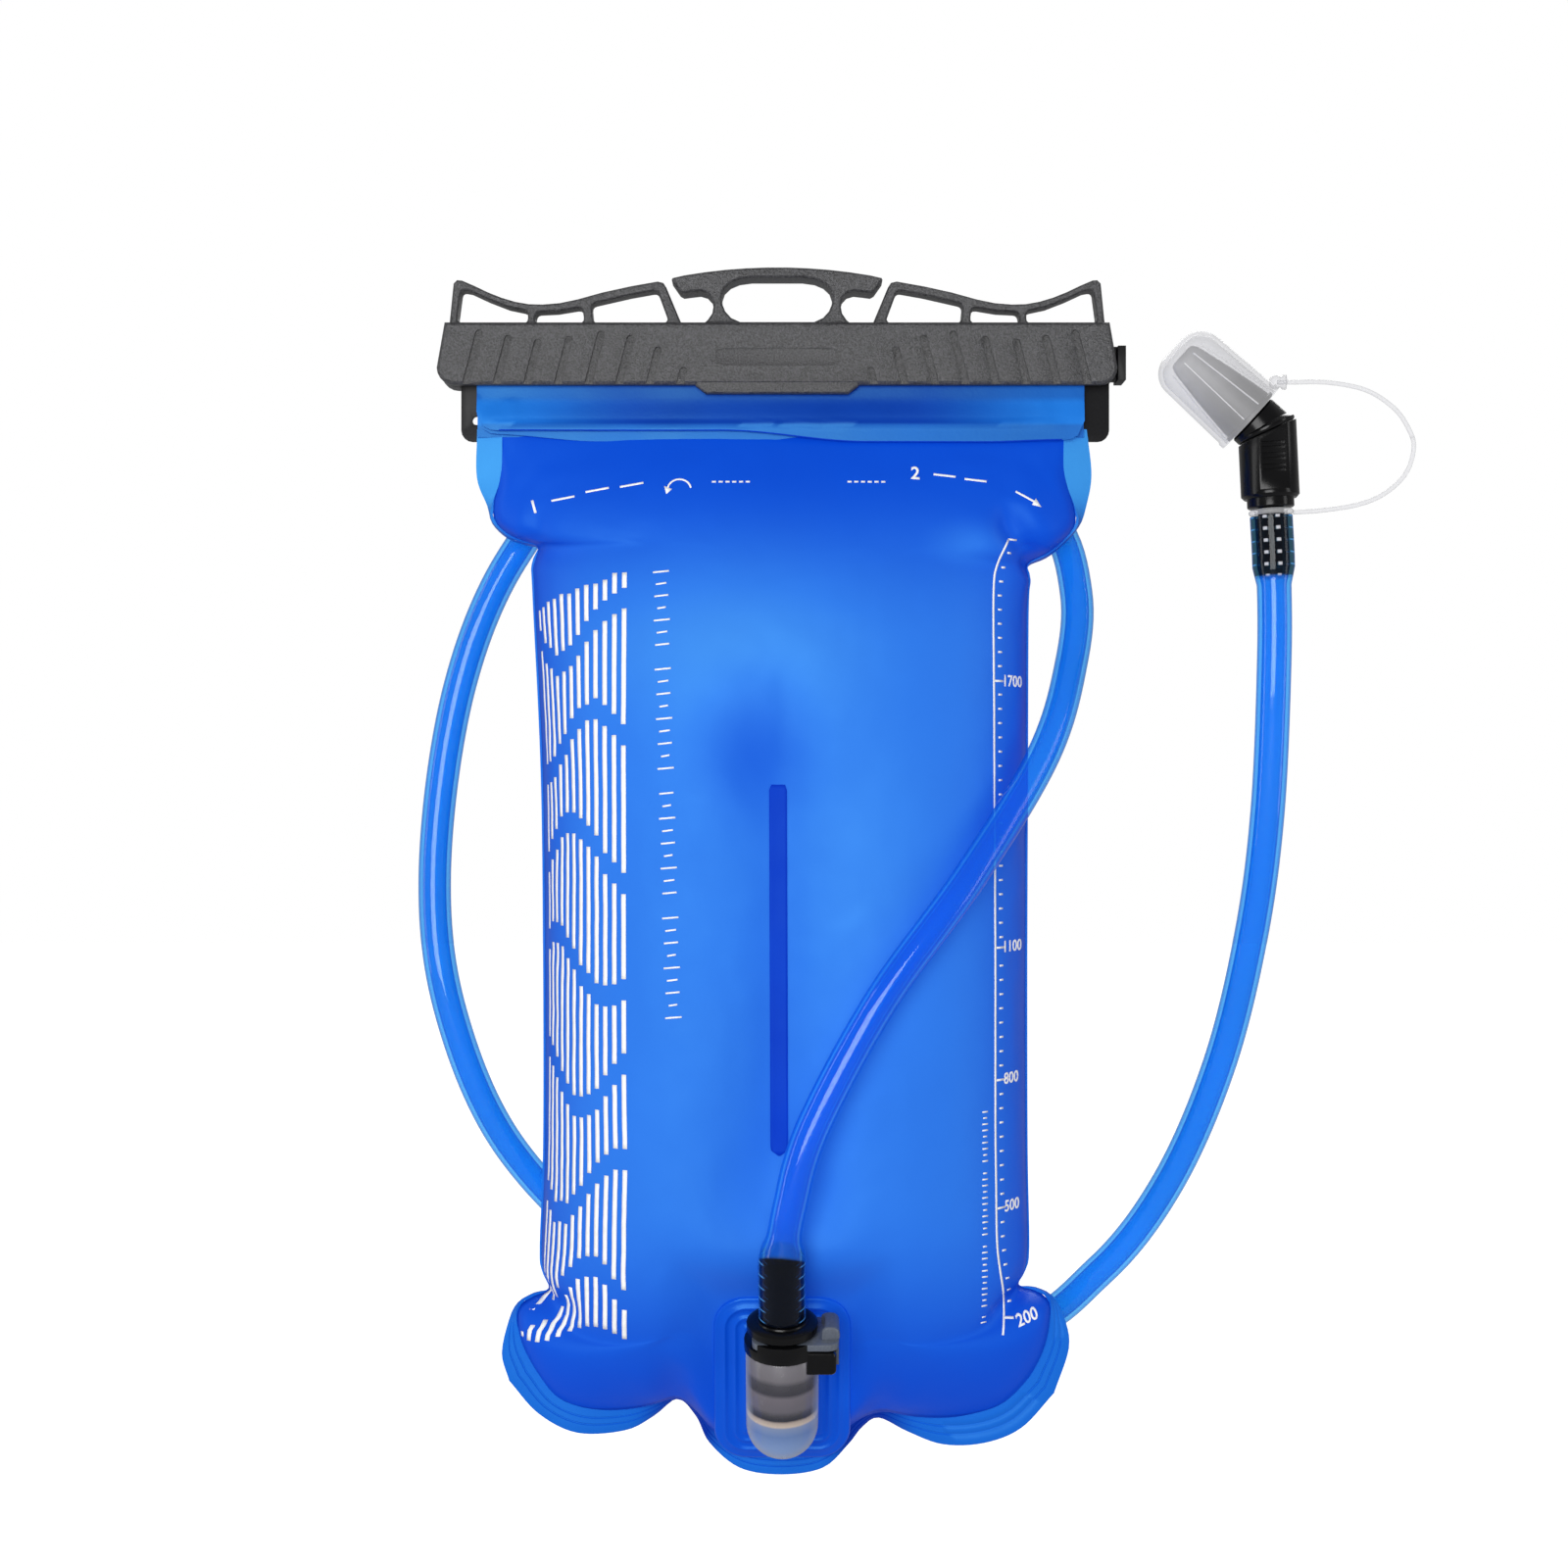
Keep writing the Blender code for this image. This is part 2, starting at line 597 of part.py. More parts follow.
def build_slider():
    body = slider_body()
    joined = [rail_outline(-1), rail_outline(1), handle_arch(), thumb_tab()]
    join(body, *[add_guide(piece) for piece in joined])
    section = [(CHANNEL_FRONT, CHANNEL_TOP), (CHANNEL_BACK, CHANNEL_TOP), (CHANNEL_BACK, LIP_TOP),
               (LIP_FRONT, LIP_TOP), (LIP_FRONT, -40 * MM), (CHANNEL_FRONT, -40 * MM)]
    channel = outline("channel", section, 2.2 * SLIDER_HALF, plane="YZ")
    cut(body, add_guide(channel))
    for side in (-1, 1):
        for index in range(GROOVES):
            cut(body, add_guide(grip_groove(index, side)))
    panel_end = PANEL_HALF - PANEL_RADIUS
    panel = outline("panel_recess", arc(panel_end, PANEL_Z, PANEL_RADIUS, 90, -90, 7)
                    + arc(-panel_end, PANEL_Z, PANEL_RADIUS, -90, -270, 7), GROOVE_DEEP,
                    offset=SLIDER_MID_Y - SLIDER_DEPTH / 2)
    cut(body, add_guide(panel))
    add_piece(body, "slider")


# ---------------------------------------------------------------- quick-release port

def build_pad(port):
    """The pad: a rounded plate with two raised steps, and the water hole through it."""
    points = rounded_rectangle(-PAD_HALF, PAD_HALF, PAD_LOW, PAD_HIGH, PAD_CORNER)
    edge_y = PAD_Y + 2 * PAD_STEP

    def build(bm):
        verts = [bm.verts.new((x, edge_y, z)) for x, z in points]
        face = bm.faces.new(verts)
        sides = bmesh.ops.extrude_face_region(bm, geom=[face])
        moved = [v for v in sides["geom"] if isinstance(v, bmesh.types.BMVert)]
        bmesh.ops.translate(bm, verts=moved, vec=(0, PAD_BACK - edge_y, 0))
        bmesh.ops.recalc_face_normals(bm, faces=bm.faces)
        front = min(bm.faces, key=lambda f: f.calc_center_median().y)
        for width in (PAD_STEP_WIDTH, 0.3 * MM, PAD_STEP_WIDTH, 0.3 * MM):
            rise = PAD_STEP if width < 1 * MM else 0.0
            bmesh.ops.inset_region(bm, faces=[front], thickness=width, depth=0.0, use_even_offset=True)
            bmesh.ops.translate(bm, verts=front.verts, vec=(0, -rise, 0))

    pad = mesh_object("port_pad", build)
    hole = rod("pad_water_hole", WATER_HOLE_R, 5 * MM, 16 * MM, "Y")
    hole.location.z = WATER_HOLE_Z
    cut(pad, add_guide(hole, port))
    add_piece(pad, "pad", port)


def build_socket(port):
    """The clear socket: a round-ended tube on a flat foot, bored for the plug and the poppet."""
    dome = [(SOCKET_R * math.cos(math.radians(a)), SOCKET_END - SOCKET_R * math.sin(math.radians(a)))
            for a in range(0, 90, 15)]
    tube = turned("socket_body", [(0, SOCKET_TOP), (SOCKET_R, SOCKET_TOP)] + dome
                  + [(0, SOCKET_END - SOCKET_R)], 32, closed=False)
    foot_half = SOCKET_R - 0.4 * MM
    foot_shape = (arc(0, SOCKET_END, foot_half, 180, 360, 9)
                  + [(foot_half, SOCKET_TOP - 1 * MM), (-foot_half, SOCKET_TOP - 1 * MM)])
    foot = outline("socket_foot", foot_shape, 9 * MM, offset=PAD_Y - GAP - 4.5 * MM)
    join(tube, add_guide(foot, port))
    bore = rod("socket_bore", BORE_R, BORE_FLOOR, SOCKET_TOP + 5 * MM, sides=32)
    seat = rod("socket_seat", SEAT_R, CHAMBER_TOP - 1 * MM, BORE_FLOOR + 1 * MM, sides=24)
    chamber = rod("socket_chamber", CHAMBER_R, CHAMBER_FLOOR, CHAMBER_TOP, sides=24)
    water = rod("socket_water_hole", WATER_HOLE_R, 0.0, 14 * MM, "Y")
    water.location.z = WATER_HOLE_Z
    cut(tube, *[add_guide(c, port) for c in (bore, chamber, seat, water)])
    add_piece(tube, "clear", port)


def build_housing(port):
    """The black latch housing: a ring on the socket's mouth, two guide walls and a side block."""
    lip = HOUSING_TOP - SOCKET_TOP
    housing = rod("latch_housing", HOUSING_R, SOCKET_TOP + GAP, SOCKET_TOP + lip, sides=32)
    block = outline("housing_block", rounded_rectangle(5.0 * MM, 15.0 * MM, 15.2 * MM, 22.0 * MM, 1.5 * MM),
                    13 * MM, edge=0.4 * MM, offset=-1.5 * MM)
    walls = rod("housing_walls", HOUSING_R, HOUSING_TOP - 1 * MM, COLLAR_LOW - GAP, sides=32)
    lane = LATCH_HALF + GAP
    track = box("latch_track", (-20 * MM, -lane, HOUSING_TOP), (20 * MM, lane, 30 * MM))
    add_guide(track, port)
    join(housing, add_guide(block, port), add_guide(walls, port))
    tube = rod("housing_clearance", SOCKET_R + GAP, 5 * MM, SOCKET_TOP + GAP, sides=32)
    mouth = rod("housing_mouth", BORE_R + GAP, SOCKET_TOP - 4 * MM, HOUSING_TOP + 6 * MM, sides=32)
    slot = box("button_slot", (11.7 * MM, -4.2 * MM, 12 * MM), (17 * MM, 7 * MM, 25 * MM))
    pocket = rod("spring_pocket", 1.9 * MM, 10.6 * MM, 13 * MM, "X")
    pocket.location.z = LATCH_SPRING[2]
    foot_room = box("foot_room", (-SOCKET_R, 0, 0), (SOCKET_R, 20 * MM, SOCKET_TOP + GAP))
    pad_room = box("pad_room", (-20 * MM, PAD_Y - GAP, 0), (20 * MM, 20 * MM, 40 * MM))
    cut(housing, *[add_guide(c, port) for c in (tube, mouth, slot, pocket, foot_room, pad_room)], track)
    add_piece(housing, "black", port)


def build_button(port):
    """The grey latch plate, pierced for the plug, with a thumb pad and a side wall."""
    reach = PLUG_R + GAP
    hole = arc(BUTTON_TRAVEL, 0, reach, 90, -90, 9) + arc(0, 0, reach, -90, -270, 9)
    rim = rounded_rectangle(-8.4 * MM, WALL_RIGHT, -LATCH_HALF, LATCH_HALF, 3 * MM)
    plate = outline("latch_button", rim, BUTTON_HIGH - BUTTON_LOW, [hole])
    plate.data.transform(Matrix.Translation((0, 0, (BUTTON_LOW + BUTTON_HIGH) / 2))
                         @ Matrix.Rotation(-math.pi / 2, 4, "X"))
    thumb = outline("thumb_pad", rounded_rectangle(10.6 * MM, WALL_RIGHT + 0.2 * MM, BUTTON_LOW + 0.4 * MM,
                                                   28.0 * MM, 2.2 * MM), 9 * MM, edge=0.4 * MM)
    wall = box("button_wall", (WALL_LEFT, -3.8 * MM, 16.2 * MM), (WALL_RIGHT, 4 * MM, BUTTON_HIGH - 0.4 * MM))
    join(plate, add_guide(thumb, port), add_guide(wall, port))
    for name, shift in (("collar_room", 0.0), ("collar_room_pressed", BUTTON_TRAVEL)):
        room = rod(name, COLLAR_R + GAP, BUTTON_HIGH, 40 * MM, sides=32)
        room.location.x = shift
        cut(plate, add_guide(room, port))
    add_piece(plate, "grey", port)


def build_latch_spring(port):
    left, right, height = LATCH_SPRING
    spring = wire("latch_spring", coil_points(1.4 * MM, left, right, 2.5), 0.22 * MM, resolution=1)
    spring.data.transform(Matrix.Translation((0, 0, height)) @ Matrix.Rotation(math.pi / 2, 4, "Y"))
    add_piece(spring, "steel", port)


def build_poppet(port):
    """The poppet that shuts the seat when the plug is out, its seal and its spring."""
    top = CHAMBER_TOP - POPPET_TRAVEL - 0.1 * MM
    floor = top - 2.0 * MM
    profile = [(0, top), (4.0 * MM, top), (4.0 * MM, top - 0.8 * MM), (5.3 * MM, top - 0.8 * MM),
               (5.3 * MM, floor), (2.4 * MM, floor), (2.4 * MM, floor - 2.2 * MM), (0, floor - 2.2 * MM)]
    add_piece(turned("poppet", profile, 24, closed=False), "black", port)
    add_piece(ring("poppet_seal", 4.85 * MM, 0.4 * MM, top - 0.35 * MM), "seal", port)
    points = coil_points(3.6 * MM, CHAMBER_FLOOR + 0.8 * MM, floor - 0.8 * MM, 3)
    add_piece(wire("poppet_spring", points, 0.35 * MM, resolution=1), "steel", port)


# ---------------------------------------------------------------- plug and hose

def barb_profile(top, foot, crest, root, count):
    """Barbs on a stem, top to bottom: each slopes out downwards and steps back in."""
    pitch = (top - foot) / count
    points = []
    for i in range(count):
        start = top - i * pitch
        points += [(root, start), (crest, start - 0.75 * pitch), (root, start - 0.85 * pitch)]
    return points


def build_plug(port):
    """The black plug: barbed stem, collar, nose with a seal groove, and the probe for the poppet."""
    bore = 2.7 * MM
    groove_r = 5.0 * MM
    profile = [(3.9 * MM, PLUG_TOP), *barb_profile(PLUG_TOP - 0.8 * MM, 34 * MM, 4.6 * MM, 4.1 * MM, 3),
               (4.1 * MM, COLLAR_HIGH + 0.4 * MM), (7.2 * MM, COLLAR_HIGH + 0.4 * MM),
               (7.4 * MM, COLLAR_HIGH), (COLLAR_R - 1.2 * MM, COLLAR_HIGH),
               (COLLAR_R, COLLAR_HIGH - 0.9 * MM), (COLLAR_R, COLLAR_LOW + 0.6 * MM),
               (COLLAR_R - 0.6 * MM, COLLAR_LOW), (PLUG_R, COLLAR_LOW), (PLUG_R, 6.4 * MM),
               (groove_r, 6.4 * MM), (groove_r, 3.9 * MM), (PLUG_R, 3.9 * MM), (PLUG_R, 2.4 * MM),
               (PLUG_R - 0.6 * MM, 1.8 * MM), (PROBE_R, 1.8 * MM), (PROBE_R, PROBE_END),
               (bore, PROBE_END), (bore, PLUG_TOP)]
    add_piece(turned("plug", profile), "black", port)
    add_piece(ring("plug_seal", 5.98 * MM, 0.6 * MM, 5.15 * MM), "seal", port)


def hose_radius(from_plug, from_valve):
    """Outer radius of the hose, wider where it is pushed over the barbs."""
    plug_end = 1 - smoothstep(19 * MM, 27 * MM, from_plug)
    valve_end = 1 - smoothstep(14 * MM, 20 * MM, from_valve)
    return HOSE_R + (HOSE_PLUG_R - HOSE_R) * plug_end + (HOSE_VALVE_R - HOSE_R) * valve_end


def build_hose():
    """A tube of round section along the path: an open skin, thickened inwards."""
    line = smooth_path([[c * MM for c in p] for p in HOSE_PATH], HOSE_STEP)
    reach = [0.0]
    for a, b in zip(line, line[1:]):
        reach.append(reach[-1] + (b - a).length)

    curve = bpy.data.curves.new("drink_hose", "CURVE")
    curve.dimensions = "3D"
    curve.bevel_depth = 1 * MM
    curve.bevel_resolution = HOSE_SIDES // 2 - 2
    curve.twist_mode = "MINIMUM"
    spline = curve.splines.new("POLY")
    spline.points.add(len(line) - 1)
    for point, place, along in zip(spline.points, line, reach):
        point.co = (*place, 1.0)
        point.radius = hose_radius(along, reach[-1] - along) / MM
    hose = to_mesh(bpy.data.objects.new("drink_hose", curve))
    shell = hose.modifiers.new("wall", "SOLIDIFY")
    shell.thickness = HOSE_WALL
    shell.offset = -1.0
    add_piece(hose, "hose")


# ---------------------------------------------------------------- bite valve

def build_valve_body(valve, mitre):
    """The black body: grip flats, a barbed stem below and a mitred top with a socket for the head."""
    bore = 2.2 * MM
    top = 32 * MM
    stem = barb_profile(-2.6 * MM, -14.8 * MM, 4.1 * MM, 3.6 * MM, 4)
    profile = [(VALVE_R, top), (VALVE_R, 3.5 * MM), (VALVE_R - 0.8 * MM, 2.6 * MM), (6.6 * MM, 2.6 * MM),
               (6.6 * MM, 0.3 * MM), (6.3 * MM, 0.0), (3.7 * MM, 0.0), (3.7 * MM, -2.5 * MM), *stem,
               (3.2 * MM, -15.6 * MM), (bore, -15.6 * MM), (bore, top)]
    body = turned("valve_body", profile)
    above = box("mitre_cut", (-30 * MM, -30 * MM, 0), (30 * MM, 30 * MM, 40 * MM))
    cut(body, add_guide(above, mitre))
    cut(body, add_guide(rod("swivel_socket", 4.7 * MM, -4.6 * MM, 2 * MM, sides=24), mitre))
    for side in (-1, 1):
        near, far = sorted((side * VALVE_FLAT, side * 20 * MM))
        flat = box(f"grip_flat_{'fb'[side > 0]}", (-20 * MM, near, 4.6 * MM), (20 * MM, far, 40 * MM))
        cut(body, add_guide(flat, valve))
        for index in range(6):
            height = (9.6 + 3.0 * (index // 2) + 1.35 * (index % 2)) * MM + (index // 2) * 0.2 * MM
            deep, out = sorted((side * (VALVE_FLAT - 0.5 * MM), side * 9 * MM))
            slot = box(f"grip_slot_{'fb'[side > 0]}{index}", (-3.3 * MM, deep, height),
                       (3.3 * MM, out, height + 0.75 * MM))
            cut(body, add_guide(slot, valve))
    add_piece(body, "black", valve)


def build_elbow(mitre, head):
    """The swivelling head: a disc on the mitre, a slanted tube, and spigots at both ends."""
    disc = turned("elbow_head", [(0, 0.3 * MM + DISC_THICK), (DISC_R - 1.3 * MM, 0.3 * MM + DISC_THICK),
                                 (DISC_R, 1.4 * MM), (DISC_R, 0.8 * MM), (DISC_R - 0.4 * MM, GAP),
                                 (0, GAP)], closed=False)
    tube = turned("head_tube", [(0, 0), (HEAD_R - 0.4 * MM, 0), (HEAD_R, -0.4 * MM),
                                (HEAD_R, -HEAD_LENGTH - 6 * MM), (0, -HEAD_LENGTH - 6 * MM)], closed=False)
    below = box("head_trim", (-30 * MM, -30 * MM, -40 * MM), (30 * MM, 30 * MM, 0.6 * MM))
    add_guide(tube, head)
    cut(tube, add_guide(below, mitre))
    spigot = rod("swivel_spigot", 4.4 * MM, -4.0 * MM, 1.5 * MM, sides=24)
    mouth_spigot = rod("mouth_spigot", 4.3 * MM, -1.5 * MM, 6.5 * MM, sides=24)
    join(disc, tube, add_guide(spigot, mitre), add_guide(mouth_spigot, head))
    groove = turned("seal_groove", [(6 * MM, -1.5 * MM), (6 * MM, -3.0 * MM), (3.4 * MM, -3.0 * MM),
                                    (3.4 * MM, -1.5 * MM)], 24)
    low_bore = rod("swivel_bore", 2.4 * MM, -6 * MM, 1.2 * MM)
    high_bore = rod("head_bore", 2.4 * MM, -HEAD_LENGTH + 0.5 * MM, 10 * MM)
    cut(disc, add_guide(groove, mitre), add_guide(low_bore, mitre), add_guide(high_bore, head))
    add_piece(disc, "black", mitre)
    add_piece(ring("swivel_seal", 4.06 * MM, 0.42 * MM, -2.25 * MM), "seal", mitre)


def build_mouthpiece(head):
    """The soft mouthpiece: a flange and a tube that flattens to a slit at its tip."""
    tip = 24 * MM
    profile = [(0.0, tip), (5.6 * MM, tip), (7.0 * MM, tip - 1.2 * MM), (7.3 * MM, tip - 4 * MM),
               (6.4 * MM, tip - 9 * MM), (6.6 * MM, 6.5 * MM), (6.9 * MM, 1.6 * MM),
               (8.9 * MM, 1.3 * MM), (8.9 * MM, GAP), (4.6 * MM, GAP), (4.6 * MM, 7 * MM),
               (3.4 * MM, 9 * MM), (3.4 * MM, tip - 4 * MM),
               (2.0 * MM, tip - 1.6 * MM), (0.0, tip - 1.6 * MM)]
    mouth = to_mesh(turned("bite_valve", profile, 20, closed=False))
    for vert in mouth.data.vertices:
        flat = smoothstep(8 * MM, tip - 3 * MM, vert.co.z)
        vert.co.y *= 1 - 0.38 * flat
        vert.co.x *= 1 + 0.12 * flat
    slit = box("bite_slit", (-4.2 * MM, -0.4 * MM, tip - 5 * MM), (4.2 * MM, 0.4 * MM, tip + 3 * MM))
    cut(mouth, add_guide(slit, head))
    add_piece(mouth, "silicone", head)


def build_cap(head):
    """The clear dust cap: a cup with a rounded end, and the lug that its lanyard ties to."""
    inner = CAP_R - CAP_WALL
    low = GAP + 0.1 * MM
    high = low + CAP_LENGTH
    outside = arc(CAP_R - 5 * MM, high - 5 * MM, 5 * MM, 90, 0, 5)
    inside = arc(inner - 4 * MM, high - CAP_WALL - 4 * MM, 4 * MM, 0, 90, 4)
    profile = ([(0, high)] + outside + [(CAP_R, low + 2 * MM), (CAP_R + 0.4 * MM, low + 1.6 * MM),
                                        (CAP_R + 0.4 * MM, low), (inner, low)]
               + inside + [(0, high - CAP_WALL)])
    cap = turned("dust_cap", profile, closed=False)
    lug = box("cap_lug", (CAP_R - 0.8 * MM, -1.6 * MM, low + 0.6 * MM),
              (CAP_R + 3.0 * MM, 1.6 * MM, low + 5.4 * MM))
    join(cap, add_guide(lug, head))
    add_piece(cap, "cap", head)


def build_lanyard(valve):
    """The lanyard: a ring round the stem's neck, a thin strand and the knob at the cap's lug."""
    line = smooth_path([(x * MM, VALVE_POS[1], z * MM) for x, z in LANYARD_PATH], 5 * MM)
    strand = wire("lanyard", line, LANYARD_R, resolution=1)
    collar = add_guide(ring("lanyard_ring", 5.4 * MM, 0.85 * MM, -1.25 * MM), valve)
    lug = box("lanyard_lug", (5.4 * MM, -1.2 * MM, -1.9 * MM), (8.6 * MM, 1.2 * MM, -0.6 * MM))

    def knob_shape(bm):
        bmesh.ops.create_uvsphere(bm, u_segments=10, v_segments=8, radius=1.5 * MM,
                                  matrix=Matrix.Translation(line[-1]))

    knob = add_guide(mesh_object("lanyard_knob", knob_shape))
    join(strand, collar, add_guide(lug, valve), knob)
    add_piece(strand, "cap")


# ---------------------------------------------------------------- the whole part

def shade(obj):
    """Smooth shading with sharp edges kept, on pieces that hold a finished mesh."""
    if obj.type == "MESH" and len(obj.data.polygons):
        obj.data.shade_smooth()
        obj.data.set_sharp_from_angle(angle=math.radians(35))


def build():
    port = frame_at("port_axis", PORT_POS, lean_x=PORT_TILT)
    valve = frame_at("valve_axis", VALVE_POS, lean_y=VALVE_LEAN)
    up_body = Vector((math.sin(VALVE_LEAN), 0, math.cos(VALVE_LEAN)))
    up_head = Vector((math.sin(HEAD_LEAN), 0, math.cos(HEAD_LEAN)))
    mitre_pos = Vector(VALVE_POS) + MITRE_HEIGHT * up_body
    mitre = frame_at("mitre_axis", mitre_pos, lean_y=MITRE_LEAN)
    head = frame_at("head_axis", mitre_pos + HEAD_LENGTH * up_head, lean_y=HEAD_LEAN)
    build_pouch(port)
    build_backing_bar()
    build_slider()
    build_pad(port)
    build_socket(port)
    build_housing(port)
    build_button(port)
    build_latch_spring(port)
    build_poppet(port)
    build_plug(port)
    build_hose()
    build_valve_body(valve, mitre)
    build_elbow(mitre, head)
    build_mouthpiece(head)
    build_cap(head)
    build_lanyard(valve)
    for obj in parts.objects:
        shade(obj)


clear_scene()
parts = new_collection("hydration_bladder")
cutters = new_collection("cutters")
build()
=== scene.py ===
"""The looks of the hydration bladder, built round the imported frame. Metres, +Z up, front towards -Y.

The two films of the pouch are one pressure-simulated skin; the mouth, welds, hose, clear parts and
prints are built on top of it. Hard pieces keep their CAD shape and get a finish."""
import json
import math

import bmesh
import bpy
import numpy as np
from mathutils import Matrix, Vector
from mathutils.bvhtree import BVHTree


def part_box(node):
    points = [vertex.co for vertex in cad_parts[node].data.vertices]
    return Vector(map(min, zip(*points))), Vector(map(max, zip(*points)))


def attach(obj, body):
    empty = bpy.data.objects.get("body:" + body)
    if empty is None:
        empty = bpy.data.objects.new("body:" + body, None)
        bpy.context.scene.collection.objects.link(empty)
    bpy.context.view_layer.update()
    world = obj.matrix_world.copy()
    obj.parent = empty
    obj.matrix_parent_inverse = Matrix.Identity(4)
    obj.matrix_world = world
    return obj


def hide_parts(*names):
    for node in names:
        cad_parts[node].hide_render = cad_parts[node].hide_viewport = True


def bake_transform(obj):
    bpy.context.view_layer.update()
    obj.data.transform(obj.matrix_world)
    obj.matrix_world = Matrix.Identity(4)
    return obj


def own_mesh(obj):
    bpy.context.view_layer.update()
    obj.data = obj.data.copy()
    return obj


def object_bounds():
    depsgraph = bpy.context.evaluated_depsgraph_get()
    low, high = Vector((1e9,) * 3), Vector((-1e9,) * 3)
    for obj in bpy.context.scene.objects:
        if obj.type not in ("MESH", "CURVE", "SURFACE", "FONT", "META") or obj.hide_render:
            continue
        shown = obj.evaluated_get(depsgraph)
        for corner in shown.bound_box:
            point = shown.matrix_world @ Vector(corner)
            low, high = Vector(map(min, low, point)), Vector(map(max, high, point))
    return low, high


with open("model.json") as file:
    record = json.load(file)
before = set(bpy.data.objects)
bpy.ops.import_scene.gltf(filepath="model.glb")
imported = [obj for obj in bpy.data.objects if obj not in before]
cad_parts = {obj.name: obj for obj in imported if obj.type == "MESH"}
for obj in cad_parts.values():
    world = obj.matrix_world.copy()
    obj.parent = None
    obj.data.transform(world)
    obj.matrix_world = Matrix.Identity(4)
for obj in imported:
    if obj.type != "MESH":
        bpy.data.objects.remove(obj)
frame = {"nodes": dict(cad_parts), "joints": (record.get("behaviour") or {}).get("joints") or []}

MM = 0.001
CAD_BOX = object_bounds()
JOINTS = {joint["name"]: joint for joint in frame["joints"]}


def middle(node):
    low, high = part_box(node)
    return (low + high) / 2


# ---- driving places and sizes

# Pouch: x, y, z of the seam in mm, from the mouth down to the lower corner, left and right
LEFT_SEAM = (
    (-81, 0, -43.5), (-81.3, 0, -57), (-83.4, 1, -65.5), (-83.4, 2, -70), (-79.3, 3.5, -74),
    (-74.6, 5.5, -75.8), (-70.4, 7, -77.2), (-72.3, 8, -82.5), (-72, 8, -92), (-69.6, 8, -144),
    (-68.9, 8, -200), (-68.9, 8, -254), (-69.8, 7, -284), (-69.2, 6, -290.5), (-67, 5, -296.2),
    (-71.4, 3, -297.5), (-75.4, 1, -299.6), (-76.2, 0, -304.5), (-74.8, 0, -311), (-71.2, 0, -318))
RIGHT_SEAM = (
    (84.4, 0, -43.5), (84.6, 0, -57), (87.2, 1, -66), (88, 2, -71), (84, 3.5, -76),
    (79.4, 5.5, -79.6), (73.9, 7, -82.4), (74.6, 8, -87), (74, 8, -97), (73.8, 8, -147),
    (73.6, 8, -200), (73.7, 8, -254), (74.1, 7, -284), (73, 6, -290.5), (70.8, 5, -295.2),
    (75.6, 3, -295.8), (79.6, 1, -298), (80, 0, -304), (78.4, 0, -312), (74.2, 0, -321))
BOTTOM_SEAM = (
    (-71.2, 0, -318), (-64.6, 0, -326.8), (-55.4, 0, -330.4), (-43.9, 1, -330.4), (-35.5, 3, -328.8),
    (-29.6, 5, -327), (-23.8, 3, -330.4), (-18.4, 1, -337.2), (-9.5, 0, -341.9), (1.2, 0, -343.2),
    (12, 0, -341.9), (18.6, 1, -337.4), (24.3, 3, -333), (30.7, 5, -331), (39, 3, -332.4),
    (48, 1, -332.9), (58, 0, -331.8), (66.4, 0, -328.6), (74.2, 0, -321))
# The rim's outer edge, point for point beside the seams above: in front's plane at the corners and
# lobes, folded back along the sides
LEFT_EDGE = (
    (-87.8, 1.2, -43.5), (-87.9, 1.2, -57.6), (-84.9, 3.5, -65.6), (-83.7, 5.5, -70.4), (-79.6, 7.5, -74.4),
    (-74.8, 9.5, -76.1), (-70.7, 10.5, -77.4), (-72.6, 13, -82.5), (-72.3, 14.5, -92), (-69.9, 14.5, -144),
    (-69.2, 14.5, -200), (-69.2, 14.5, -254), (-70.1, 12, -284), (-69.5, 9.5, -290.5), (-67.1, 7, -296.5),
    (-71.5, 5, -297.7), (-76, 3, -300), (-78.5, 1.5, -304.6), (-80.6, 0.5, -314), (-78.4, 0, -322))
RIGHT_EDGE = (
    (90.6, 1.2, -43.5), (92, 1.2, -57), (90.4, 3, -66.4), (88.6, 5.5, -71.4), (84.3, 7.5, -76.4),
    (79.6, 9.5, -80), (74.2, 10.5, -82.6), (74.9, 13, -87), (74.3, 14.5, -97), (74.1, 14.5, -147),
    (73.9, 14.5, -200), (74, 14.5, -254), (74.4, 12, -284), (73.3, 9.5, -290.5), (71, 7, -295.6),
    (75.7, 5, -296), (80.6, 3, -298), (84.2, 1.5, -304.2), (85.4, 0.5, -312.6), (81, 0, -325.6))
BOTTOM_EDGE = (
    (-78.4, 0, -322), (-69.8, 0, -331.6), (-58.5, 0, -337.2), (-44.6, 1.5, -336.9), (-36.4, 4, -333.4),
    (-29.3, 6.5, -328.9), (-23.6, 4, -333.6), (-19.9, 1.5, -340.4), (-11, 0, -347.4), (1.2, 0, -349.4),
    (13.4, 0, -347.4), (20.8, 1.5, -341), (25, 4, -336.6), (30, 6.5, -334.6), (38.5, 4, -338),
    (48.6, 1.5, -341), (60.5, 0, -340.2), (71.4, 0, -335.8), (81, 0, -325.6))
CELL = 3.4                          # film mesh, mm
COLUMNS = 52
EDGE_CROWDING = 0.5                 # how much closer the columns stand near the seams
FRONT_DEPTH = 37.0                  # seam plane to the front film's crest, mm
BACK_DEPTH = 9.5
TOP_RUN = 92.0                      # heights over which the films open out, mm
BOTTOM_RUN = 72.0
SEAM_BACK = 8.0                     # how far the side seams are pulled back, mm
WELD_TOP = -146.7                   # weld down the middle of the films, mm
WELD_BOTTOM = -252.6
WELD_HALF = 2.5
VALLEY_HALF = 15.0
VALLEY_SHARE = 0.14
PORT_HOLLOW = 4.5                   # room above the port for the plug as it comes out, mm

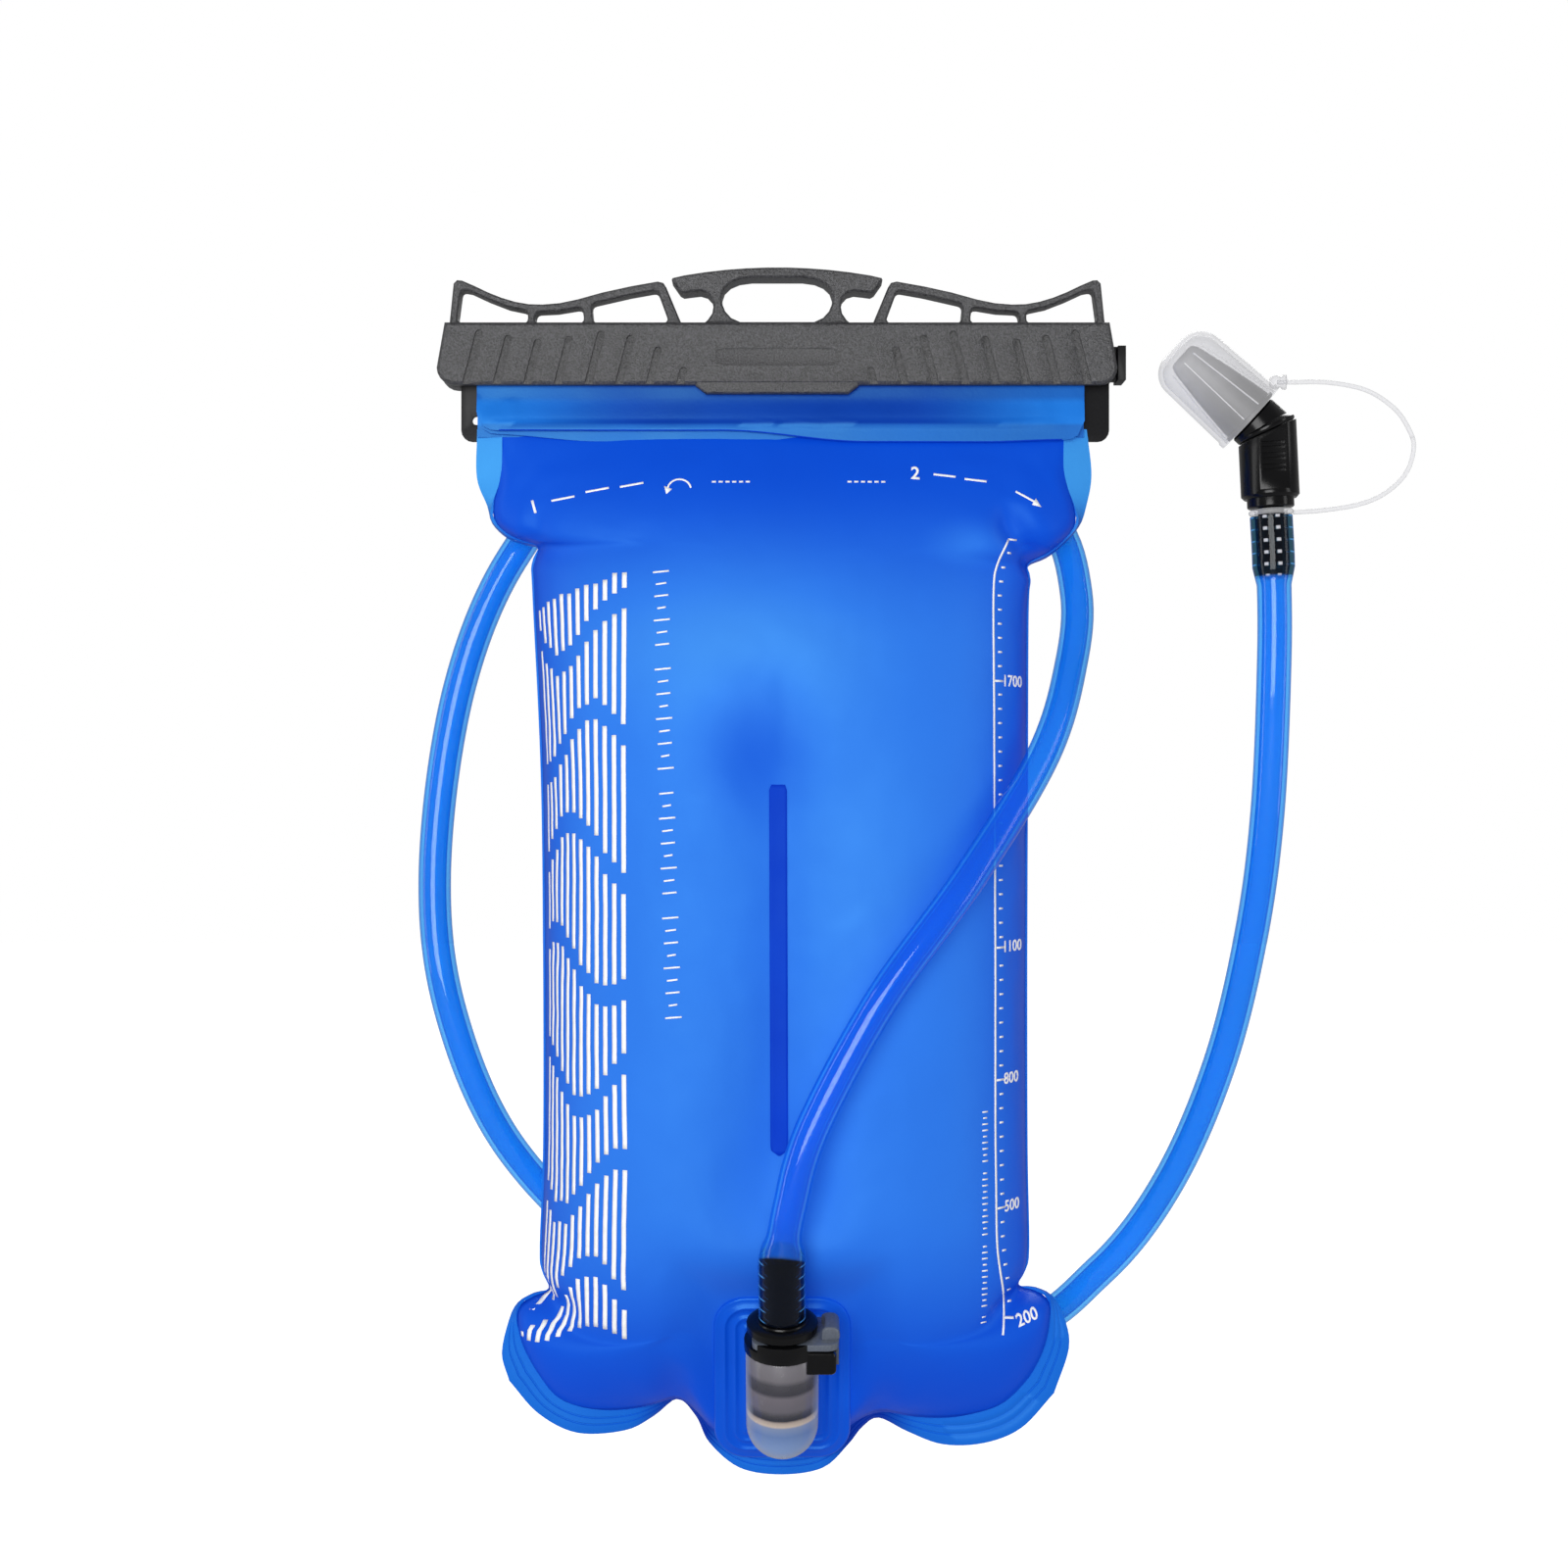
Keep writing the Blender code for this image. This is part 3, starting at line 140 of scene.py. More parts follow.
# Port, in a frame with +Z along the socket and -Y out of the pad
PORT_DIR = Vector(JOINTS["plug_pull"]["axis"]).normalized()
SEAL_HEIGHT = 5.15 * MM             # plug_seal's place along the port axis
PORT_POS = middle("plug_seal") - SEAL_HEIGHT * PORT_DIR
PORT = Matrix.Translation(PORT_POS) @ Matrix.Rotation(
    math.atan2(-PORT_DIR.y, PORT_DIR.z), 4, "X")
PAD_FACE = 10.5                     # mm from the port axis to the pad's panel
PAD_HALF = 19.7
PAD_LOW = -23.5
PAD_HIGH = 28.5
PAD_CORNER = 7.0

# Bite valve: the swivel's centre, the head's axis and the stem's lean
MITRE_POS = Vector(JOINTS["elbow_swivel"]["pos_m"])
HEAD_DIR = Vector(JOINTS["cap_pull"]["axis"]).normalized()
HEAD_LENGTH = 5.9 * MM
HEAD = Matrix.Translation(MITRE_POS + HEAD_LENGTH * HEAD_DIR) @ Matrix.Rotation(
    math.atan2(HEAD_DIR.x, HEAD_DIR.z), 4, "Y")
VALVE_LEAN = math.radians(-2.7)
MITRE_HEIGHT = 21.4 * MM
VALVE = (Matrix.Translation(MITRE_POS) @ Matrix.Rotation(VALVE_LEAN, 4, "Y")
         @ Matrix.Translation((0, 0, -MITRE_HEIGHT)))

# Hose centre line in mm, from the plug to the bite valve
HOSE_PATH = (
    (1.5, -30.15, -295.83), (1.5, -35.1, -278.6), (3.6, -37.6, -264), (10, -38.3, -242),
    (29, -36.5, -207), (54, -28, -173.5), (77, -8, -139), (87, 8, -112), (89.5, 15.5, -90),
    (83, 22, -68), (60, 25, -52), (1, 26, -46.5), (-55, 25, -54), (-80, 21.5, -79),
    (-96, 18, -120), (-103, 18, -174), (-98, 18.5, -217), (-80, 24, -259), (-45, 33, -293),
    (11, 35, -313.7), (70, 30.5, -315), (98, 24.5, -295), (117, 16, -267), (130.2, 5, -230.5),
    (137.8, -4, -191.6), (140.9, -12, -154.9), (141.5, -18, -111), (141.3, -18, -85.7),
    (140.6, -18, -71.3))
HOSE_BEHIND_MOUTH = HOSE_PATH[11]
HOSE_BEHIND_PORT = HOSE_PATH[19]
HOSE_R = 4.85
HOSE_PLUG_R = 6.6
HOSE_VALVE_R = 6.0
HOSE_WALL = 1.4
HOSE_SIDES = 28
PLUG_STEM = 20.8                    # length of each barbed stem inside the hose, mm
VALVE_STEM = 17.3
LANYARD_PATH = (                    # x and z in mm, in the valve's plane
    (146.9, -70.1), (154.7, -69.6), (165.4, -67.9), (173.1, -64.6), (179, -58.9), (181.2, -51.7),
    (179.8, -46.5), (175.6, -40.5), (167.7, -35.4), (157, -33.2), (146.5, -33.1), (142.4, -33.1))
LANYARD_R = 0.65
SHELL_SHARP = 40                    # degrees, on the clear and soft turned pieces


# ---- maths helpers

def smoothstep(low, high, value):
    t = np.clip((value - low) / (high - low), 0.0, 1.0)
    return t * t * (3 - 2 * t)


def spline_at(points, index, t):
    """A point of the smooth line (Catmull-Rom) through points, t of the way along stretch index."""
    pts = np.asarray(points, float)
    last = len(pts) - 1
    before = pts[index - 1] if index > 0 else 2 * pts[0] - pts[1]
    after = pts[index + 2] if index + 2 <= last else 2 * pts[last] - pts[last - 1]
    b, c = pts[index], pts[index + 1]
    return 0.5 * (2 * b + (c - before) * t + (2 * before - 5 * b + 4 * c - after) * t ** 2
                  + (3 * b - before - 3 * c + after) * t ** 3)


def stretches(lines, step):
    """(stretch, share) pairs about every step along lines that have as many points, by their mean length."""
    gaps = np.mean([np.linalg.norm(np.diff(np.asarray(p, float), axis=0), axis=1) for p in lines], axis=0)
    pairs = []
    for i, gap in enumerate(gaps):
        count = max(1, round(float(gap) / step))
        pairs += [(i, k / count) for k in range(count)]
    return pairs


def smooth_line(points, step):
    """Points about every step along the smooth line through points."""
    line = [spline_at(points, i, t) for i, t in stretches([points], step)]
    return np.array(line + [np.asarray(points[-1], float)])


def reaches(line):
    """How far along a line each of its points lies."""
    return np.concatenate([[0], np.cumsum(np.linalg.norm(np.diff(line, axis=0), axis=1))])


def evenly(line, count):
    """The line again, as count points at equal distances."""
    reach = reaches(line)
    at = np.linspace(0, reach[-1], count)
    return np.stack([np.interp(at, reach, line[:, k]) for k in range(line.shape[1])], axis=1)


# ---- mesh helpers

def add_object(name, data):
    obj = bpy.data.objects.new(name, data)
    bpy.context.scene.collection.objects.link(obj)
    return obj


def mesh_piece(name, verts, faces, smooth=True):
    """A new mesh object from points in mm and faces."""
    mesh = bpy.data.meshes.new(name)
    mesh.from_pydata([tuple(float(c) * MM for c in v) for v in verts], [], faces)
    mesh.update()
    if smooth:
        mesh.shade_smooth()
    return add_object(name, mesh)


def grid_faces(rows, columns, flip=False, wrap=False):
    faces = []
    for j in range(rows - 1):
        for i in range(columns if wrap else columns - 1):
            a, b = j * columns + i, j * columns + (i + 1) % columns
            quad = (a, b, b + columns, a + columns)
            faces.append(quad[::-1] if flip else quad)
    return faces


def other_side(faces, shift):
    """The same faces over the points shift further on, turned over."""
    return [tuple(v + shift for v in face[::-1]) for face in faces]


def tidy(obj, sharp=None):
    """Turn every face outwards and, if asked, keep bends of more than sharp degrees crisp."""
    bm = bmesh.new()
    bm.from_mesh(obj.data)
    bmesh.ops.recalc_face_normals(bm, faces=bm.faces)
    bm.to_mesh(obj.data)
    bm.free()
    if sharp:
        obj.data.set_sharp_from_angle(angle=math.radians(sharp))


def turned(name, profile, steps=72, place=Matrix(), sharp=None):
    """A profile of (radius, height) pairs in mm, outer side first and top to bottom, turned about Z."""
    verts, faces, rings = [], [], []
    for radius, height in profile:
        count = steps if radius > 1e-6 else 1
        rings.append([len(verts) + k % count for k in range(steps)])
        angles = [2 * math.pi * k / steps for k in range(count)]
        verts += [(radius * math.cos(a), radius * math.sin(a), height) for a in angles]
    closing = [(rings[-1], rings[0])] if profile[0][0] > 1e-6 else []
    for upper, lower in list(zip(rings, rings[1:])) + closing:
        for k in range(steps):
            n = (k + 1) % steps
            face = list(dict.fromkeys((upper[k], lower[k], lower[n], upper[n])))
            if len(face) > 2:
                faces.append(face)
    obj = mesh_piece(name, verts, faces)
    tidy(obj, sharp)
    obj.data.transform(place)
    return obj


def tube(name, line, radius, wall=0, sides=24, sharp=None):
    """A round tube along points in mm, solid if it has no wall; radius is one number or one a point."""
    line = np.asarray(line, float)
    ahead = np.gradient(line, axis=0)
    ahead /= np.linalg.norm(ahead, axis=1)[:, None]
    side = np.cross(ahead[0], (0.0, 1.0, 0.0))
    if np.linalg.norm(side) < 0.2:
        side = np.cross(ahead[0], (1.0, 0.0, 0.0))
    outer, inner = [], []
    for point, tangent, r in zip(line, ahead, np.broadcast_to(radius, (len(line),))):
        side = side - tangent * side.dot(tangent)
        side /= np.linalg.norm(side)
        up = np.cross(tangent, side)
        for k in range(sides):
            angle = 2 * math.pi * k / sides
            out = side * math.cos(angle) + up * math.sin(angle)
            outer.append(point + out * r)
            inner.append(point + out * (r - wall))
    count = len(outer)
    faces = grid_faces(len(line), sides, wrap=True, flip=True)
    if wall:
        faces += other_side(faces, count)
        for end in (0, count - sides):
            faces += [(end + k, end + (k + 1) % sides, count + end + (k + 1) % sides, count + end + k)
                      for k in range(sides)]
    else:
        faces += [tuple(range(sides)), tuple(range(count - sides, count))]
    obj = mesh_piece(name, outer + inner if wall else outer, faces)
    tidy(obj, sharp)
    return obj


def modifier(obj, kind, **settings):
    made = obj.modifiers.new(kind.lower(), kind)
    for key, value in settings.items():
        setattr(made, key, value)
    return made


def evaluated_mesh(obj):
    graph = bpy.context.evaluated_depsgraph_get()
    return bpy.data.meshes.new_from_object(obj.evaluated_get(graph))


def bake(obj):
    """Apply every modifier of obj."""
    mesh = evaluated_mesh(obj)
    obj.modifiers.clear()
    obj.data = mesh


def finish_piece(obj, material, body="reservoir", replaces=()):
    obj.data.materials.clear()
    obj.data.materials.append(material)
    if body:
        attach(obj, body)
    if replaces:
        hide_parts(*replaces)
    return obj


# ---- materials

class Look:
    """The node tree of a material or a world; its methods add the nodes that paint it."""

    def __init__(self, owner, main="Principled BSDF"):
        owner.use_nodes = True
        self.owner = owner
        self.tree = owner.node_tree
        self.shader = self.tree.nodes[main]

    def put(self, socket, value):
        """Link another node's output to a socket, or set its number, vector or colour."""
        if isinstance(value, bpy.types.NodeSocket):
            self.tree.links.new(value, socket)
        else:
            socket.default_value = (*value, 1.0) if socket.type == "RGBA" else value

    def node(self, kind, inputs, output=0, **settings):
        """Add a node and return one of its outputs."""
        made = self.tree.nodes.new("ShaderNode" + kind)
        for key, value in settings.items():
            setattr(made, key, value)
        for key, value in inputs.items():
            self.put(made.inputs[key], value)
        return made.outputs[output]

    def set(self, inputs):
        """Set the main shader's inputs."""
        for key, value in inputs.items():
            self.put(self.shader.inputs[key], value)

    def paint(self, colour, roughness, relief, others=None):
        """Set what every surface has, with relief as bump's three values, and return the material."""
        self.set({"Base Color": colour, "Roughness": roughness, **(others or {})})
        self.bump(*relief)
        return self.owner

    def noise(self, scale, detail=3.0, roughness=0.55, stretch=(1, 1, 1)):
        """Noise in the object's own coordinates, scale in features per metre."""
        where = self.node("Mapping", {"Vector": self.node("TexCoord", {}, "Object"), "Scale": stretch})
        return self.node("TexNoise", {"Vector": where, "Scale": scale, "Detail": detail,
                                      "Roughness": roughness}, "Fac")

    def ramp(self, factor, *stops):
        """A colour ramp; stops are (position, grey or rgb)."""
        colour = self.node("ValToRGB", {"Fac": factor}, "Color")
        elements = colour.node.color_ramp.elements
        while len(elements) < len(stops):
            elements.new(0.5)
        for element, (position, value) in zip(elements, stops):
            element.position = position
            rgb = (value, value, value) if isinstance(value, (int, float)) else value
            element.color = (*rgb, 1.0)
        return colour

    def mix(self, factor, a, b, blend="MIX"):
        return self.node("Mix", {0: factor, 6: a, 7: b}, 2, data_type="RGBA", blend_type=blend)

    def times(self, a, b):
        return self.mix(1.0, a, b, "MULTIPLY")

    def bump(self, height, strength, distance):
        self.set({"Normal": self.node("Bump", {"Height": height, "Strength": strength, "Distance": distance},
                                      "Normal")})

    def maths(self, operation, a, b=0.0):
        return self.node("Math", {0: a, 1: b}, operation=operation)

    def between(self, value, low, high):
        """0 at low rising smoothly to 1 at high."""
        return self.node("MapRange", {"Value": value, "From Min": low, "From Max": high}, "Result",
                         interpolation_type="SMOOTHSTEP")

    def facing(self, blend=0.5):
        """0 where the surface faces the eye, 1 where it is seen edge on."""
        return self.node("LayerWeight", {"Blend": blend}, "Facing")

    def stored(self, name):
        """A number kept on the mesh's points by store."""
        return self.node("Attribute", {}, "Fac", attribute_name=name)

    def along(self, direction, origin=(0, 0, 0)):
        """How far the shaded point lies from origin, measured along direction, in mm."""
        where = self.node("TexCoord", {}, "Object")
        offset = self.node("VectorMath", {0: where, 1: tuple(origin)}, operation="SUBTRACT")
        reach = self.node("VectorMath", {0: offset, 1: tuple(direction)}, "Value", operation="DOT_PRODUCT")
        return self.maths("MULTIPLY", reach, 1 / MM)

    def spot(self, centre, radii):
        """1 at a centre in mm, fading to 0 at an ellipsoid's radii."""
        moved = self.node("Mapping", {
            "Vector": self.node("TexCoord", {}, "Object"),
            "Location": tuple(-c / r for c, r in zip(centre, radii)),
            "Scale": tuple(1 / (r * MM) for r in radii)})
        return self.between(self.node("VectorMath", {0: moved}, "Value", operation="LENGTH"), 1.0, 0.0)

    def total(self, start, *parts):
        """start plus every (weight, value) of parts."""
        value = start
        for weight, part in parts:
            value = self.maths("ADD", value, self.maths("MULTIPLY", part, weight))
        return value

    def see_through(self, tint, share):
        """Let share of the light straight through the surface, tinted; the rest is the shader's own."""
        through = self.node("BsdfTransparent", {"Color": tint})
        both = self.node("MixShader", {0: share, 1: self.shader.outputs[0], 2: through})
        self.tree.links.new(both, self.tree.nodes["Material Output"].inputs["Surface"])


def new_look(name):
    return Look(bpy.data.materials.new(name))


X_AXIS = (1, 0, 0)
Z_AXIS = (0, 0, 1)
# Specular tint of the films, and the colour of their painted glow, which stands in for light scattered inside
# the bag
FILM_TINT_AND_GLOW = {"Specular Tint": (0.2, 0.7, 1.0), "Emission Color": (0.0, 0.045, 1.0)}


def pouch_light_and_shade(look):
    """Painted light and shade: low, as painted shade, where the films lie close together, high over the
    filled middle, with painted highlights on the upper middle, beside the right crease and right of the weld,
    and painted shade dipping round the weld.
    """
    z = look.along(Z_AXIS)
    reach = look.maths("ABSOLUTE", look.along(X_AXIS))
    body = look.maths("MULTIPLY", look.between(z, -54, -112), look.between(z, -326, -262))
    body = look.maths("MULTIPLY", body, look.between(reach, 86, 50))
    # painted highlights at the first three spots, painted shade at the top of the weld and down it at the
    # last two
    return look.total(
        0.0, (0.68, body), (0.32, look.spot((-12, -30, -106), (62, 300, 40))),
        (0.3, look.spot((56, -30, -78), (17, 300, 9))), (0.14, look.spot((30, -30, -176), (34, 300, 70))),
        (-0.5, look.spot((-6, -30, -136), (24, 300, 34))), (-0.16, look.spot((0, -30, -205), (13, 300, 80))))


def rim_tone_and_shade(look):
    """High at the mouth's corners, low at the foot, lowest in the two notches, where it is painted shade."""
    # painted shade in the two notches between the lobes
    notch_shade = [(-0.6, look.spot(place, (17, 40, 16))) for place in ((-26, 0, -334), (26, 0, -337))]
    return look.total(0.4, (0.6, look.between(look.along(Z_AXIS), -80, -60)), *notch_shade)


def even_share(look):
    return look.noise(22, 3)


def film_material(name, stops, roughness, glow, share=even_share):
    """Satin film: tone by share, a faint cloudiness, painted shade where it is seen edge on, fine orange
    peel, and a painted glow that stands in for light scattered inside.
    """
    look = new_look(name)
    clouds = look.ramp(look.noise(22, 3), (0.3, 0.94), (0.7, 1.0))
    # painted shade: darker where the film is seen edge on
    edge_on_shade = look.ramp(look.facing(0.35), (0.4, 1.0), (1.0, 0.55))
    tone = look.times(look.times(look.ramp(share(look), *stops), clouds), edge_on_shade)
    gloss = look.ramp(look.noise(60, 4), (0.3, roughness - 0.05), (0.75, roughness + 0.07))
    peel = look.mix(0.25, look.noise(70, 2), look.noise(900, 2))
    # glow is the strength of the painted glow
    return look.paint(tone, gloss, (peel, 0.2, 0.0004),
                      {"Specular IOR Level": 0.38, "Emission Strength": glow, **FILM_TINT_AND_GLOW})


def mouth_material():
    """The mouth's folded film: deep blue in the middle, partly as the slider's painted shadow, paler at its
    ends and along its welded lip, with a faint painted glow.
    """
    look = new_look("blue_film_mouth")
    clouds = look.noise(40, 3)
    z = look.along(Z_AXIS)
    ends = look.between(look.maths("ABSOLUTE", look.along(X_AXIS)), 38, 88)
    deep = look.mix(ends, (0.001, 0.034, 0.30), (0.01, 0.17, 0.62))
    # painted shadow just under the slider's foot
    shadow = look.maths("MULTIPLY", look.between(z, -36.5, -34.0), 0.5)
    deep = look.mix(shadow, deep, (0.001, 0.02, 0.2))
    tone = look.mix(look.between(z, -42.0, -43.2), deep, (0.012, 0.11, 0.42))
    tone = look.times(tone, look.ramp(clouds, (0.3, 0.85), (0.7, 1.0)))
    peel = look.mix(0.3, look.noise(90, 2), look.noise(1100, 2))
    # a faint painted glow
    return look.paint(tone, look.ramp(clouds, (0.3, 0.34), (0.75, 0.46)), (peel, 0.25, 0.0004),
                      {"Emission Strength": 0.08, **FILM_TINT_AND_GLOW})


def moulded_material(name, colour, roughness, grain, depth, speckle, spec=0.5, painted_crevice_light=False):
    """Moulded plastic with a spark-eroded grain, rubbed lighter patches and, if asked, painted shade in its
    hollows and painted highlights along its edges."""
    look = new_look(name)
    grit = look.noise(grain, 3, 0.6)
    broad = look.noise(35, 3)
    dark, bright = (tuple(c * (1 + s) for c in colour) for s in (-speckle, speckle))
    tone = look.times(look.ramp(grit, (0.35, dark), (0.68, bright)),
                      look.ramp(broad, (0.35, 0.92), (0.7, 1.08)))
    if painted_crevice_light:
        # painted shade in hollows and grooves
        hollow_shade = look.node("AmbientOcclusion", {"Distance": 0.0022}, "AO", samples=6)
        tone = look.times(tone, look.ramp(hollow_shade, (0.45, 0.12), (0.9, 1.0)))
        # painted highlight along convex edges
        edge = look.node("AmbientOcclusion", {"Distance": 0.0009}, "AO", samples=6, inside=True)
        tone = look.mix(look.ramp(edge, (0.3, 0.6), (0.62, 0.0)), tone, tuple(c * 2.6 for c in colour))
    gloss = look.ramp(broad, (0.3, roughness - 0.06), (0.75, roughness + 0.08))
    return look.paint(tone, gloss, (grit, 0.6, depth), {"Specular IOR Level": spec})


def clear_material(name, tint, roughness, haze, edge, glow):
    """Frosted clear plastic: straight through where it faces you, milky at its edges and darker there as
    painted shade, with flow marks and a painted white glow.
    """
    look = new_look(name)
    marks = look.noise(140, 3, stretch=(1, 1, 0.3))
    facing = look.facing()
    tone = look.ramp(marks, (0.3, tuple(c * 0.9 for c in tint)), (0.7, tint))
    # painted shade: darker where seen edge on
    tone = look.times(tone, look.ramp(facing, (0.55, 1.0), (0.95, 0.6)))
    look.see_through((0.95, 0.95, 0.96),
                     look.ramp(facing, (0.25, 1 - haze), (0.6, 0.9 - haze), (1.0, 1 - edge)))
    gloss = look.ramp(marks, (0.3, roughness), (0.75, roughness + 0.12))
    # glow is the strength of a painted white glow
    return look.paint(tone, gloss, (marks, 0.15, 0.0003),
                      {"Emission Color": (1, 1, 1), "Emission Strength": glow, "Specular IOR Level": 0.3})


def socket_material():
    """The socket's thick wall shows what it holds as wide bands: dark bore, pale seal, milky dome."""
    look = new_look("socket_clear")
    marks = look.noise(180, 3)
    # height along the port's axis in mm, colour, haze
    bands = ((-14.5, (0.6, 0.7, 0.9), 0.85), (-9.5, (0.3, 0.44, 0.74), 0.7),
             (-3.0, (0.16, 0.26, 0.52), 0.66), (-0.3, (0.25, 0.32, 0.5), 0.72),
             (0.3, (0.56, 0.46, 0.38), 0.88), (1.5, (0.4, 0.33, 0.29), 0.88),
             (2.2, (0.02, 0.02, 0.03), 0.9), (3.6, (0.05, 0.05, 0.062), 0.86),
             (5.0, (0.14, 0.13, 0.155), 0.78), (9.0, (0.16, 0.145, 0.17), 0.78),
             (10.2, (0.035, 0.034, 0.045), 0.88), (13.0, (0.06, 0.058, 0.07), 0.84),
             (14.5, (0.17, 0.16, 0.18), 0.78), (19.5, (0.2, 0.19, 0.21), 0.78))
    low, span = bands[0][0], bands[-1][0] - bands[0][0]
    height = look.total(look.along(PORT_DIR, PORT_POS), (0.6, look.maths("SUBTRACT", marks, 0.5)))
    at = look.maths("DIVIDE", look.maths("SUBTRACT", height, low), span)
    colour, haze = (look.ramp(at, *[((band[0] - low) / span, band[k]) for band in bands]) for k in (1, 2))
    edge = look.ramp(look.facing(), (0.42, 0.0), (0.85, 1.0))
    look.see_through((0.9, 0.92, 0.96), look.maths("SUBTRACT", 1.0, haze))
    return look.paint(look.mix(edge, colour, (0.45, 0.5, 0.62)), look.ramp(marks, (0.3, 0.16), (0.75, 0.3)),
                      (marks, 0.15, 0.0003))


def mouthpiece_material():
    """Grey silicone, darker towards its root, dull and slightly mottled."""
    look = new_look("mouthpiece_silicone")
    height = look.along(HEAD_DIR, HEAD.translation)
    tone = look.mix(look.between(height, 2.0, 27.0), (0.012, 0.012, 0.013), (0.36, 0.36, 0.37))
    tone = look.times(tone, look.ramp(look.noise(160, 3), (0.3, 0.75), (0.7, 1.1)))
    gloss = look.ramp(look.noise(90, 2), (0.3, 0.4), (0.7, 0.5))
    return look.paint(tone, gloss, (look.noise(500, 2), 0.2, 0.0001))


def hose_material():
    """Clear blue tube: see-through in the middle, deeper blue where the wall is seen edge on, a painted
    highlight streak down each side, glossy skin and a faint painted glow.
    Over the two barbed stems it shows them dark and wide, with a pale ring at each barb and painted glints on
    the valve's stem."""
    look = new_look("hose_blue")
    facing = look.facing()
    clouds = look.noise(25, 2)
    plug_stem, valve_stem = look.stored("plug_stem"), look.stored("valve_stem")
    plug_dome = look.maths("SUBTRACT", plug_stem, look.maths("MULTIPLY", facing, 3.5))
    ends = look.between(look.maths("MAXIMUM", plug_dome, valve_stem), -0.5, 0.5)
    barbs = look.maths("PINGPONG", look.maths("MAXIMUM", plug_stem, valve_stem), 1.7)
    ring = look.maths("MULTIPLY", look.between(barbs, 0.3, 0.1), look.between(facing, 0.35, 0.5))
    # painted glints on the valve's stem, in two columns at each barb
    glint = look.maths("MULTIPLY", look.between(barbs, 0.6, 0.3), look.between(valve_stem, -1.0, 0.0))
    for low, high in ((0.02, 0.035), (0.1, 0.08)):
        glint = look.maths("MULTIPLY", glint, look.between(facing, low, high))
    stem = look.ramp(facing, (0.0, (0.002, 0.003, 0.006)), (0.66, (0.003, 0.006, 0.02)),
                     (0.74, (0.01, 0.08, 0.4)), (1.0, (0.02, 0.16, 0.6)))
    stem = look.mix(glint, look.mix(ring, stem, (0.08, 0.32, 0.75)), (0.7, 0.7, 0.75))
    # tone of the wall by how it faces the eye, with a painted highlight streak at facing 0.42
    band = look.ramp(facing, (0.0, (0.006, 0.17, 0.86)), (0.3, (0.005, 0.14, 0.8)),
                     (0.42, (0.06, 0.42, 0.95)), (0.52, (0.006, 0.17, 0.84)),
                     (0.72, (0.004, 0.1, 0.68)), (1.0, (0.02, 0.26, 0.85)))
    band = look.times(band, look.ramp(clouds, (0.3, 0.88), (0.7, 1.0)))
    # gloss, and a painted blue glow on the hose away from the stems
    shine_and_glow = {name: look.mix(ends, (hose,) * 3, (end,) * 3) for name, hose, end in (
        ("Emission Strength", 0.12, 0), ("Coat Weight", 0.7, 0.12), ("Specular IOR Level", 0.5, 0.2))}
    look.see_through((0.42, 0.84, 1.0), look.mix(
        ends, look.ramp(facing, (0.2, 0.66), (0.75, 0.45), (1.0, 0.12)),
        look.ramp(facing, (0.5, 0.3), (1.0, 0.12))))
    gloss = look.ramp(clouds, (0.3, 0.06), (0.75, 0.13))
    return look.paint(look.mix(ends, band, stem), gloss, (look.noise(200, 2), 0.06, 0.0003),
                      {"Emission Color": (0.0, 0.12, 1.0), "Coat Roughness": 0.03, **shine_and_glow})


def ink_material():
    """White screen print: matt, very slightly uneven."""
    look = new_look("white_ink")
    patch = look.noise(500, 3)
    return look.paint(look.ramp(patch, (0.3, 0.86), (0.7, 0.96)), look.ramp(patch, (0.3, 0.45), (0.7, 0.6)),
                      (patch, 0.1, 0.0001))


def metal_material(name, colour, roughness):
    look = new_look(name)
    drawn = look.noise(900, 2, stretch=(1, 1, 6))
    tone = look.ramp(drawn, (0.3, tuple(c * 0.85 for c in colour)), (0.7, colour))
    return look.paint(tone, look.ramp(drawn, (0.3, roughness), (0.7, roughness + 0.15)),
                      (drawn, 0.1, 0.0001), {"Metallic": 1.0})


# the films carry a painted glow; the pouch's and the rim's tones follow painted light and shade
FILM = film_material("blue_film", [(0.0, (0.0012, 0.058, 0.43)), (0.7, (0.025, 0.165, 0.55)),
                                   (1.0, (0.042, 0.225, 0.58))], 0.5, 0.22, pouch_light_and_shade)
EDGE_FILM = film_material("blue_film_single", [(0.0, (0.001, 0.02, 0.2)), (0.4, (0.008, 0.13, 0.5)),
                                               (1.0, (0.045, 0.29, 0.62))], 0.45, 0.16, rim_tone_and_shade)
FLAP_FILM = mouth_material()
WELD_BLUE = film_material("blue_film_welded", [(0.3, (0.001, 0.02, 0.30)), (0.7, (0.001, 0.03, 0.34))],
                          0.65, 0.22)
PAD_BLUE = film_material("blue_pad", [(0.3, (0.002, 0.062, 0.40)), (0.7, (0.003, 0.08, 0.46))], 0.32, 0.22)
# the slider's finish has painted shade in its grooves and painted highlights on its edges
SLIDER_GREY = moulded_material("slider_charcoal", (0.036, 0.036, 0.04), 0.42, 1900, 0.0006, 0.8, 0.8, True)
BAR_BLACK = moulded_material("bar_black", (0.005, 0.005, 0.006), 0.5, 1500, 0.00006, 0.2, 0.25)
BLACK = moulded_material("black_plastic", (0.0026, 0.0026, 0.003), 0.2, 1800, 0.00003, 0.15, 0.22)
GREY = moulded_material("latch_grey", (0.095, 0.11, 0.14), 0.36, 1800, 0.00005, 0.15)
SOCKET_CLEAR = socket_material()
